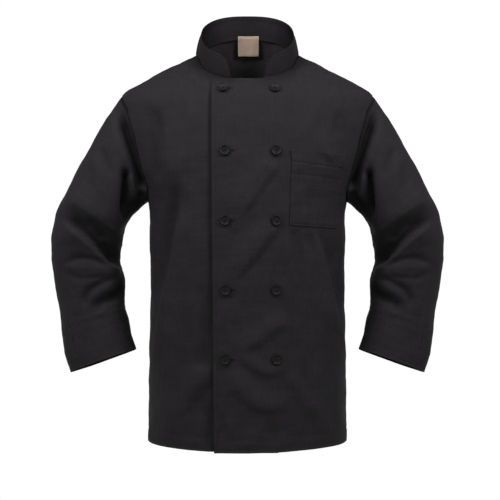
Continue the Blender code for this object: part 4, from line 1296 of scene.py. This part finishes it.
def groupTree(name, sockets):
    tree = bpy.data.node_groups.new(name, "GeometryNodeTree")
    tree.interface.new_socket("Geometry", in_out="INPUT", socket_type="NodeSocketGeometry")
    tree.interface.new_socket("Geometry", in_out="OUTPUT", socket_type="NodeSocketGeometry")
    for label, kind in sockets:
        tree.interface.new_socket(label, in_out="INPUT", socket_type="NodeSocket" + kind)
    return tree, addNode(tree, "NodeGroupInput").outputs, addNode(tree, "NodeGroupOutput")


def alignedTo(tree, tangent):
    # X along the tangent, then Z turned to the way out
    outward = addNode(tree, "GeometryNodeInputNamedAttribute", {"Name": "outward"}, data_type="FLOAT_VECTOR")
    along = addNode(tree, "FunctionNodeAlignRotationToVector", {"Vector": tangent}, axis="X")
    return addNode(tree, "FunctionNodeAlignRotationToVector", {"Rotation": along, "Vector": outward},
                   axis="Z", pivot_axis="X")


def stitchTree():
    tree, given, end = groupTree("stitchRun", [
        ("Pitch", "Float"), ("Length", "Float"), ("Thickness", "Float"), ("Turn", "Float"),
        ("Material", "Material")])
    curve = addNode(tree, "GeometryNodeMeshToCurve", {"Mesh": given["Geometry"]})
    even = addNode(tree, "GeometryNodeResampleCurve", {"Curve": curve, "Length": given["Pitch"]},
                   mode="LENGTH")
    facing = alignedTo(tree, addNode(tree, "GeometryNodeInputTangent"))
    turnBy = addNode(tree, "ShaderNodeCombineXYZ", {"Z": given["Turn"]})
    asRotation = addNode(tree, "FunctionNodeEulerToRotation", {"Euler": turnBy})
    turned = addNode(tree, "FunctionNodeRotateRotation", {"Rotation": facing, "Rotate By": asRotation},
                     rotation_space="LOCAL")
    bead = addNode(tree, "GeometryNodeMeshUVSphere", {"Segments": 6, "Rings": 4, "Radius": 0.5})
    size = addNode(tree, "ShaderNodeCombineXYZ", {
        "X": given["Length"], "Y": given["Thickness"], "Z": given["Thickness"]})
    sewn = addNode(tree, "GeometryNodeInstanceOnPoints", {
        "Points": even, "Instance": bead, "Rotation": turned, "Scale": size})
    real = addNode(tree, "GeometryNodeRealizeInstances", {"Geometry": sewn})
    shaded = addNode(tree, "GeometryNodeSetShadeSmooth", {"Geometry": real})
    finished = addNode(tree, "GeometryNodeSetMaterial", {"Geometry": shaded, "Material": given["Material"]})
    feed(tree, end, {0: finished})
    return tree


def buttonTree():
    tree, given, end = groupTree("buttonSetter", [
        ("Button", "Object"), ("Size", "Float"), ("Material", "Material")])
    made = addNode(tree, "GeometryNodeObjectInfo", {"Object": given["Button"]}).outputs["Geometry"]
    across = addNode(tree, "GeometryNodeInputNamedAttribute", {"Name": "across"}, data_type="FLOAT_VECTOR")
    facing = alignedTo(tree, across)
    placed = addNode(tree, "GeometryNodeInstanceOnPoints", {
        "Points": given["Geometry"], "Instance": made, "Rotation": facing, "Scale": given["Size"]})
    real = addNode(tree, "GeometryNodeRealizeInstances", {"Geometry": placed})
    finished = addNode(tree, "GeometryNodeSetMaterial", {"Geometry": real, "Material": given["Material"]})
    feed(tree, end, {0: finished})
    return tree


def lineMesh(name, points, edges, vectors):
    # loose points or lines, given in millimetres, with named vectors on each point
    data = bpy.data.meshes.new(name)
    data.from_pydata((np.asarray(points) * mm).tolist(), edges, [])
    for label, values in vectors.items():
        attribute = data.attributes.new(label, "FLOAT_VECTOR", "POINT")
        attribute.data.foreach_set("vector", np.asarray(values, np.float32).ravel())
    return linked(name, data)


def throughTree(item, tree, values):
    # runs the tree on an object and keeps the result as a plain mesh
    modifier = item.modifiers.new("made", "NODES")
    modifier.node_group = tree
    for socket in tree.interface.items_tree:
        if socket.in_out == "INPUT" and socket.name in values:
            modifier[socket.identifier] = values[socket.name]
    item.update_tag()
    bpy.context.view_layer.update()
    depsgraph = bpy.context.evaluated_depsgraph_get()
    data = bpy.data.meshes.new_from_object(item.evaluated_get(depsgraph))
    name = item.name
    bpy.data.objects.remove(item, do_unlink=True)
    data.name = name
    return linked(name, data)


sewing = {
    # pitch, length and thickness of each kind of stitch
    "seam": (3.1, 2.6, 0.55),
    "label": (2.2, 1.8, 0.5),
    "button": (0.7, 1.5, 1.0),
    "buttonhole": (0.8, 1.7, 0.7),
    "lift": 0.05,
}
stitches = stitchTree()


def place(item, nodes, slot, finish):
    item.data.materials.clear()
    item.data.materials.append(finish)
    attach(item, "root")
    if nodes:
        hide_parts(*nodes)
    return item


def sew(name, lines, kind="seam", turn=0.0):
    # lines are (points, ways out) on the cloth's face
    points, ways, edges = [], [], []
    for line, outward in lines:
        first = len(points)
        points.extend(np.asarray(line) + np.asarray(outward) * sewing["lift"])
        ways.extend(outward)
        edges.extend([(first + k, first + k + 1) for k in range(len(line) - 1)])
    pitch, length, thickness = [size * mm for size in sewing[kind]]
    item = throughTree(lineMesh(name, points, edges, {"outward": ways}), stitches, {
        "Pitch": pitch, "Length": length, "Thickness": thickness, "Turn": turn, "Material": thread})
    return place(item, [], "black_twill", thread)


def clothPiece(name, node, points, normals, cut, wall, **looks):
    return place(shell(name, points, normals, cut, wall, **looks), [node], "black_twill", twill)


# fronts

cut = frontPattern()
points, normals = frontSurface(cut[..., 0], cut[..., 1], True)
points = seamDip(points, normals, ("top", "right"))
frontLeft = clothPiece("frontLeftCloth", "front_left", points, normals, cut, bodyCut["wall"],
                       worn=highlightLine(points, ("bottom",)), shade=bodyShade(cut[..., 0], cut[..., 1], False))

cut = cut.copy()
cut[..., 0] += overlap["underInset"] * ease(np.linspace(1, 0, cut.shape[1]), *overlap["underInsetFrom"])
cut[-1, :bodyCut["columnsTop"] * fine, 1] -= overlap["underDrop"]
points, normals = frontSurface(cut[..., 0], cut[..., 1], False)
points = seamDip(points, normals, ("top", "right"))
frontRight = clothPiece("frontRightCloth", "front_right", points, normals, cut * np.array([-1.0, 1.0]),
                        bodyCut["wall"], worn=highlightLine(points, ("bottom",)),
                        shade=bodyShade(-cut[..., 0], cut[..., 1], False))
print("fronts made")

# back

cut = rearPattern()
points, normals = backSurface(cut[..., 0], cut[..., 1])
points = seamDip(points, normals, ("top", "left", "right"))
# painted light on the inside round the neck, and painted shadow in the middle below it
pale, paleFrom, paleTo = blackTwill["neckPale"]
dark, darkWidth, darkDepth = blackTwill["neckDark"]
inner = blackTwill["insideShade"] * (1 + pale * ease(cut[..., 1], paleFrom, paleTo))
inner = inner * (1 - dark * hump(cut[..., 0], darkWidth) * ease(-cut[..., 1], 0.0, darkDepth))
back = clothPiece("backCloth", "back", points, normals, cut, bodyCut["wall"],
                  worn=highlightLine(points, ("bottom",)), shade=bodyShade(cut[..., 0], cut[..., 1], True),
                  innerShade=inner)
print("back made")

# sleeves and cuffs

holeTurns, holeRing, holeWays = armholeRing()


def makeSleeve(name, node, side):
    turns = np.linspace(-180, 180, sleeveTube["around"] + 1)[:-1]
    at, turn = sleeveGrid(0.0, sleeveTube["cuffStation"], sleeveTube["rings"] * fine, turns)
    points, normals, shade = sleeveSurface(at, turn)
    seam, ways = readRing(holeRing, turns), readRing(holeWays, turns)
    normals[0] = seamNormals(normals[0], unit(ways), unit(points[1] - seam))
    points = seamDip(points, normals, ("bottom",), sleeveTube["seamDip"])
    cut = sleeveMap(turn, points, True)
    item = clothPiece(name, node, points, normals, cut, sleeveTube["wall"], closed=True, side=side,
                      shade=shade)
    return item, cut


def makeCuff(name, node, side):
    band = cuffBand
    first = band["slitTurn"] + band["slitWidth"] / 2
    turns = np.linspace(first, first + 360.0 - band["slitWidth"], sleeveTube["around"] + 1)
    at, turn = sleeveGrid(sleeveTube["cuffStation"], sleeveTube["end"], band["rings"] * fine, turns)
    points, normals, shade = sleeveSurface(at, turn)
    fromStitch = toEdge(points, "bottom") - band["stitchIn"]
    ridge = band["rise"] - band["stitchSink"] * hump(fromStitch, band["stitchWidth"])
    points = seamDip(points + normals * ridge[..., None], normals, ("bottom",), band["seamDip"])
    cut = sleeveMap(turn, points, False)
    item = clothPiece(name, node, points, normals, cut, band["wall"], side=side, shade=shade,
                      worn=highlightLine(points, ("top", "left", "right")))
    return item, cut, points, normals


sleeves, cuffs = {}, {}
for sideName, side in (("Left", 1.0), ("Right", -1.0)):
    sleeves[sideName] = makeSleeve("sleeve" + sideName + "Cloth", "sleeve_" + sideName.lower(), side)
    cuffs[sideName] = makeCuff("cuff" + sideName + "Cloth", "cuff_" + sideName.lower(), side)
print("sleeves and cuffs made")

# collar

band = collarBand
levels = np.concatenate([np.linspace(0, 1, band["rows"] * fine + 1), band["edgeLevels"],
                         1 - band["stitchIn"] / band["stands"] + np.array([-1, 0, 1]) * band["grooveStep"]])
points, normals, cut = collarSurface(np.unique(levels), bodyCut["columnsNeck"] * fine)
fromEdge = np.minimum(np.minimum(toEdge(points, "top"), toEdge(points, "left")), toEdge(points, "right"))
sunk = hump(fromEdge - band["stitchIn"], band["stitchWidth"])
points = points + normals * (band["thick"] * (1 - sunk))[..., None]
points = seamDip(points, normals, ("bottom",), band["seamDip"])
# the foot is tucked in
tuck = unit(points[1] - points[4]) * band["tuckDown"] - normals[0] * band["tuckIn"]
points = np.concatenate([(points[0] + tuck)[None], (points[0] + band["tuckMiddle"] * tuck)[None], points[1:]])
normals = np.concatenate([normals[:1], normals])
cut = np.concatenate([cut[:1] - [0, band["tuckDown"]], cut])
# painted shade on the collar's inside, darker towards its front ends and its foot
rearShade, frontShade = band["innerShade"]
footShade, topShade = band["innerFoot"]
inner = rearShade + (frontShade - rearShade) * ease(np.abs(cut[..., 0]), *band["innerTurn"])
inner = inner * (footShade + topShade * ease(cut[..., 1] - cut[:1, :, 1], 0, 30))
collar = clothPiece("collarCloth", "collar", points, normals, cut, band["wall"],
                    worn=highlightLine(points, ("top", "left", "right")), shade=band["shade"], innerShade=inner)
collarCut, collarPoints, collarNormals = cut, points, normals
print("collar made")

# pocket, its strip and the label

patchPlan = chestPocket
grid = patchOnFront([patchPlan[name] for name in ("topInner", "topOuter", "footOuter", "footInner")],
                    patchPlan["rows"], patchPlan["columns"])
dent = np.zeros(grid.shape[:2])
for x, z, rise, wide, tall in patchPlan["dents"]:
    dent += rise * np.exp(-((grid[..., 0] - x) / wide) ** 2 - ((grid[..., 1] - z) / tall) ** 2)
points, normals = overSurface(grid[..., 0], grid[..., 1])
mouth = toEdge(points, "top")
sides = np.minimum(np.minimum(toEdge(points, "left"), toEdge(points, "right")), toEdge(points, "bottom"))
across = np.linspace(0, 1, grid.shape[1])[None, :]
fold, foldWidth = patchPlan["mouthTurn"], patchPlan["foldWidth"]
rise = patchPlan["lift"] + np.maximum(dent, patchPlan["deepest"]) * ease(sides, *patchPlan["dentFrom"])
rise = rise + patchPlan["foldSink"] * ease(-mouth, -fold - 1, -fold + 1)
openShare = hump(mouth, patchPlan["standFade"]) * (4 * across * (1 - across)) ** 0.5
rise = rise + patchPlan["mouthStand"] * openShare
rise = rise - patchPlan["foldSink"] * hump(mouth - fold, foldWidth)
fromStitch = sides - patchPlan["stitchIn"]
rise = rise - patchPlan["stitchSink"] * hump(fromStitch, patchPlan["stitchWidth"])
rise = rise - patchPlan["pressed"] * hump(sides, patchPlan["pressedWidth"])
points = points + normals * rise[..., None]
pocketCut, pocketPoints, pocketNormals = grid, points, normals
pocket = clothPiece("pocketCloth", "pocket", points, normals, grid, patchPlan["wall"],
                    worn=highlightLine(points, ("top", "left", "right", "bottom"), patchPlan["highlightIn"]))

above = np.array([0.0, patchPlan["stripGap"]])
grid = patchOnFront((patchPlan["stripInner"], patchPlan["stripOuter"], patchPlan["topOuter"] + above,
                     patchPlan["topInner"] + above), patchPlan["stripRows"], patchPlan["columns"])
points, normals = overSurface(grid[..., 0], grid[..., 1], patchPlan["stripLift"] + 0 * grid[..., 0])
strip = clothPiece("pocketTopCloth", "pocket_top", points, normals, grid, patchPlan["wall"],
                   worn=highlightLine(points, ("top",), patchPlan["highlightIn"]))
stripCut, stripPoints, stripNormals = grid, points, normals

tag = neckTag
x = tag["centre"] + np.linspace(-tag["halfWidth"], tag["halfWidth"], tag["columns"] + 1)
z = np.linspace(tag["foot"], tag["top"], tag["rows"] + 1)
level, across = np.meshgrid(z, x, indexing="ij")
points, normals = bodySurface(seenGirth(across, level, True), level, True)
curl = tag["curl"] * ease(tag["top"] - level, *tag["curlFrom"])
curl = curl + tag["wave"] * np.sin(across / tag["waveLength"])
points = points - normals * (tag["behind"] + curl)[..., None]
labelCut, labelPoints, labelNormals = np.stack([across, level], axis=-1), points, normals
label = place(shell("neckLabelTape", points, normals, labelCut, tag["wall"]), ["neck_label"],
              "label_tape", satin)
print("pocket and label made")

# buttons

buttonPlan = jacketButtons


def objectFrom(name, mesh):
    data = bpy.data.meshes.new(name)
    mesh.to_mesh(data)
    mesh.free()
    return linked(name, data)


def buttonDisc():
    # a turned disc with a raised rim and a dish
    mesh = bmesh.new()
    sides = buttonPlan["sides"]
    turns = [2 * math.pi * k / sides for k in range(sides)]
    rings = []
    for radius, level in buttonPlan["profile"]:
        around = turns if radius else [0.0]
        rings.append([mesh.verts.new((radius * mm * math.cos(a), radius * mm * math.sin(a), level * mm))
                      for a in around])
    for low, high in zip(rings, rings[1:]):
        for k in range(sides):
            n = (k + 1) % sides
            if len(low) == 1:
                mesh.faces.new((low[0], high[k], high[n]))
            elif len(high) == 1:
                mesh.faces.new((low[k], low[n], high[0]))
            else:
                mesh.faces.new((low[k], low[n], high[n], high[k]))
    bmesh.ops.recalc_face_normals(mesh, faces=mesh.faces)
    return objectFrom("buttonBlank", mesh)


def buttonDrill():
    mesh = bmesh.new()
    radius, reach = buttonPlan["holeRadius"] * mm, buttonPlan["holeReach"] * mm
    for k in range(4):
        turn = math.pi / 4 + k * math.pi / 2
        pin = bmesh.ops.create_cone(mesh, cap_ends=True, segments=12, radius1=radius, radius2=radius,
                                    depth=buttonPlan["drillLength"] * mm)
        bmesh.ops.translate(mesh, verts=pin["verts"],
                            vec=(reach * math.cos(turn), reach * math.sin(turn), 0.0))
    return objectFrom("buttonDrill", mesh)


def makeButtonBlank():
    # the disc with four holes cut through it
    blank, cutter = buttonDisc(), buttonDrill()
    holes = blank.modifiers.new("holes", "BOOLEAN")
    holes.object = cutter
    holes.operation = "DIFFERENCE"
    holes.solver = "EXACT"
    bpy.context.view_layer.update()
    drilled = bpy.data.meshes.new_from_object(blank.evaluated_get(bpy.context.evaluated_depsgraph_get()))
    blank.modifiers.clear()
    blank.data = drilled
    # the face keeps its colour and gloss; painted shade darkens the turned edge and the wall of the dish,
    # colour and gloss alike
    reach = np.array([math.hypot(v.co.x, v.co.y) / mm for v in drilled.vertices])
    edge, edgeFrom, edgeTo = buttonPlan["edgeShade"]
    wall, wallAt, wallWidth = buttonPlan["dishShade"]
    shadeLoss = edge * ease(reach, edgeFrom, edgeTo) + wall * hump(reach - wallAt, wallWidth)
    polish = drilled.attributes.new("polish", "FLOAT", "POINT")
    polish.data.foreach_set("value", (1 - shadeLoss).astype(np.float32))
    drilled.shade_smooth()
    drilled.set_sharp_from_angle(angle=math.radians(45))
    bpy.data.objects.remove(cutter, do_unlink=True)
    return blank


spots, outs, acrosses, nodeNames = [], [], [], []
for row, (level, rightX, leftX) in enumerate(buttonPlan["rows"], start=1):
    for sideName, x in (("left", leftX), ("right", rightX)):
        point, way = overSurface(np.array(x), np.array(level), buttonPlan["lift"])
        spots.append(point)
        outs.append(way)
        acrosses.append(unit(np.cross([0.0, 0.0, 1.0], way)))
        nodeNames.append(f"button_{sideName}_{row}")
blank = makeButtonBlank()
spotMesh = lineMesh("buttons", spots, [], {"outward": outs, "across": acrosses})
buttons = throughTree(spotMesh, buttonTree(), {"Button": blank, "Size": 1.0, "Material": plastic})
bpy.data.objects.remove(blank, do_unlink=True)
place(buttons, nodeNames, "black_button", plastic)

# thread through the holes, two bars on each button
bars = []
for point, way, right in zip(spots, outs, acrosses):
    up = np.cross(way, right)
    reach = buttonPlan["holeReach"] * math.sqrt(0.5)
    past = reach + buttonPlan["threadPast"]
    for level in (-reach, reach):
        line = [point + way * buttonPlan["threadLift"] + up * level + right * s for s in (-past, 0.0, past)]
        line[1] = line[1] + way * buttonPlan["threadBow"]
        bars.append((line, [way] * 3))
buttonThread = sew("buttonThread", bars, "button")
print("buttons set")

# sewing


def insetLine(points, normals, side, distance):
    # the line of the grid's face at a distance from one side
    away = toEdge(points, side)
    if side in ("left", "right"):
        points, normals, away = points.transpose(1, 0, 2), normals.transpose(1, 0, 2), away.T
    line, ways = [], []
    for column in range(points.shape[1]):
        order = np.argsort(away[:, column])
        at = away[order, column]
        line.append([np.interp(distance, at, points[order, column, k]) for k in range(3)])
        ways.append([np.interp(distance, at, normals[order, column, k]) for k in range(3)])
    return np.array(line), unit(np.array(ways))


def trimmed(line, start, end):
    points, ways = line
    length = np.concatenate([[0.0], np.linalg.norm(np.diff(points, axis=0), axis=1).cumsum()])
    keep = (length >= start) & (length <= length[-1] - end)
    return points[keep], ways[keep]


stitchIn = overlap["stitchIn"]
nearHem = -716.0        # a level by the hem's stitching, for how wide the front is there
across = np.linspace(float(edgeGirth(nearHem)) + 1, float(sideGirth(nearHem, False)) - 1, 160)
down = np.linspace(bodyCut["frontTop"] - stitchIn, bodyCut["hemFront"] + 2, 200)
top = np.linspace(float(edgeGirth(bodyCut["frontTop"] - stitchIn)) + stitchIn, overlap["topStitchEnd"], 16)
frontLeftSewing = sew("frontLeftStitches", [
    frontSurface(across, hemLevel(across, False) + bodyCut["hemTurn"], True),
    frontSurface(edgeGirth(down) + stitchIn, down, True),
    frontSurface(top, top * 0 + bodyCut["frontTop"] - stitchIn, True)])
across = across[across > across[0] + 8]
frontRightSewing = sew("frontRightStitches", [
    frontSurface(across, hemLevel(across, False) + bodyCut["hemTurn"], False)])

wide = float(sideGirth(bodyCut["hemSide"], True)) - 1
across = np.linspace(-wide, wide, 260)
backSewing = sew("backStitches", [backSurface(across, hemLevel(across, True) + bodyCut["hemTurn"])])

inset = collarBand["stitchIn"]
collarSewing = sew("collarStitches", [
    trimmed(insetLine(collarPoints, collarNormals, "top", inset), inset, inset)])

inset = chestPocket["stitchIn"]
pocketLines = [trimmed(insetLine(pocketPoints, pocketNormals, side, inset), inset, end)
               for side, end in (("left", 0.0), ("right", 0.0), ("bottom", inset))]
pocketLines.append(insetLine(pocketPoints, pocketNormals, "top", chestPocket["mouthTurn"]))
pocketSewing = sew("pocketStitches", pocketLines)
stripSewing = sew("pocketTopStitches", [
    insetLine(stripPoints, stripNormals, side, chestPocket["stripStitchIn"]) for side in ("top", "bottom")])

for sideName, side in (("Left", 1.0), ("Right", -1.0)):
    points, normals = cuffs[sideName][2:]
    lines = [insetLine(points, normals, "bottom", cuffBand["stitchIn"]),
             insetLine(points, normals, "top", cuffBand["wristStitchIn"])]
    for edge in ("left", "right"):
        lines.append(trimmed(insetLine(points, normals, edge, cuffBand["slitStitchIn"]),
                             cuffBand["stitchIn"], cuffBand["wristStitchIn"]))
    flip = np.array([side, 1.0, 1.0])
    sew("cuff" + sideName + "Stitches",
                               [(line * flip, ways * flip) for line, ways in lines])

inset = neckTag["stitchIn"]
line, ways = trimmed(insetLine(labelPoints, -labelNormals, "top", inset), inset, inset)
labelSewing = sew("labelStitches", [(line + ways * (neckTag["wall"] + sewing["lift"]), ways)], "label")

# buttonholes: close satin stitches round a slot, level with each button of the free edge's column
slots = []
half = buttonPlan["holeLength"] / 2
for level, rightX, _ in buttonPlan["rows"]:
    centre = rightX + buttonPlan["holeShift"]
    x = centre + np.linspace(-half, half, 24)
    for drop in (-buttonPlan["holeStep"], buttonPlan["holeStep"]):
        slots.append(overSurface(x, x * 0 + level + drop, buttonPlan["holeLift"] + 0 * x))
    z = level + np.linspace(-buttonPlan["holeEnd"], buttonPlan["holeEnd"], 5)
    for end in (-half, half):
        slots.append(overSurface(z * 0 + centre + end, z, buttonPlan["barLift"] + 0 * z))
buttonholes = sew("buttonholeStitches", slots, "buttonhole", turn=math.pi / 2)
print("sewing done")

# floor, light and camera

studio = {
    "floorDrop": 1.2,              # floor below the hem
    "floorSize": 1.6,
    "floorColours": ("#fbfbfb", "#f7f7f7"),
    "overhead": 0.05,              # strength of the room's light overhead and below
    "ringTop": (0.2, 0.3, 1.02),   # where the white round the horizon ends above, and its strength
    "ringFoot": (-0.6, -0.45, 1.0),
    "cameraFrom": (0.00475, -2.4, -0.3724),
    "lens": 90.95,
    # name, place, aim, width, height, power
    "lights": [
        ("topLight", (-0.05, -0.95, 1.25), (0, 0, -0.35), 1.3, 0.5, 19.5),
        ("leftLight", (-1.0, -0.8, 0.7), (0, 0, -0.2), 0.4, 0.5, 18.5),
        ("rightLight", (1.0, -0.8, 0.7), (0, 0, -0.2), 0.4, 0.5, 18.5),
        # straight behind and level, so that they light the back alone
        ("rearKey", (0.24, 2.1, 0.12), (0, 0, -0.3), 0.4, 0.6, 44.0),
        ("rearFill", (-0.24, 2.1, 0.12), (0, 0, -0.3), 0.4, 0.6, 12.0),
    ],
}

floorLevel = float(cadLow[2]) - studio["floorDrop"]
half = studio["floorSize"] / 2
data = bpy.data.meshes.new("floor")
data.from_pydata([(x * half, y * half, floorLevel) for x, y in ((-1, -1), (1, -1), (1, 1), (-1, 1))],
                 [], [(0, 1, 2, 3)])
floor = linked("floor", data)
# matt white paint, rolled: a faint unevenness and no gloss
paint, tree, shader = newMaterial("rolledWhitePaint")
where = addNode(tree, "ShaderNodeTexCoord").outputs["Object"]
grain = addNode(tree, "ShaderNodeTexNoise", {"Vector": where, "Scale": 40.0, "Detail": 2.0})
low, high = [linear(colour) for colour in studio["floorColours"]]
tone = addNode(tree, "ShaderNodeMix", {"Factor": grain, 6: low, 7: high}, data_type="RGBA")
feed(tree, shader, {"Base Color": tone.outputs[2], "Roughness": 0.95})
data.materials.append(paint)
floor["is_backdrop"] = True

for name, spot, aim, wide, tall, watts in studio["lights"]:
    lamp = bpy.data.lights.new(name, "AREA")
    lamp.shape = "RECTANGLE"
    lamp.size = wide
    lamp.size_y = tall
    lamp.energy = watts
    item = linked(name, lamp)
    item.location = spot
    away = np.array(spot, float) - np.array(aim, float)
    pitch = math.atan2(math.hypot(away[0], away[1]), away[2])
    item.rotation_euler = (pitch, 0.0, math.atan2(away[0], -away[1]))
    item.visible_camera = False
    item.visible_glossy = not name.startswith("rear")    # or they rim the edges seen from the front

# lit white round the horizon, dim overhead and below, so that the softboxes shape the cloth
world = bpy.data.worlds.new("whiteStudio")
world.use_nodes = True
tree = world.node_tree
way = addNode(tree, "ShaderNodeTexCoord").outputs["Generated"]
upward = addNode(tree, "ShaderNodeSeparateXYZ", {"Vector": way}).outputs["Z"]
start, end, white = studio["ringTop"]
above = addNode(tree, "ShaderNodeMapRange", {
    "Value": upward, "From Min": start, "From Max": end, "To Min": white, "To Max": studio["overhead"]},
    interpolation_type="SMOOTHSTEP")
start, end, white = studio["ringFoot"]
below = addNode(tree, "ShaderNodeMapRange", {
    "Value": upward, "From Min": start, "From Max": end, "To Min": studio["overhead"], "To Max": white},
    interpolation_type="SMOOTHSTEP")
glow = addNode(tree, "ShaderNodeMath", {0: above, 1: below}, operation="MULTIPLY")
feed(tree, tree.nodes["Background"], {"Color": linear("#ffffff"), "Strength": glow})
bpy.context.scene.world = world

lensData = bpy.data.cameras.new("camera")
lensData.sensor_width = 36.0
lensData.lens = studio["lens"]
camera = linked("camera", lensData)
camera.location = studio["cameraFrom"]
camera.rotation_euler = (math.radians(90), 0.0, 0.0)
bpy.context.scene.camera = camera
bpy.context.scene.view_settings.view_transform = "Standard"
print("studio set")

low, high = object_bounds()
print("size in mm:", [round((b - a) * 1000) for a, b in zip(low, high)])
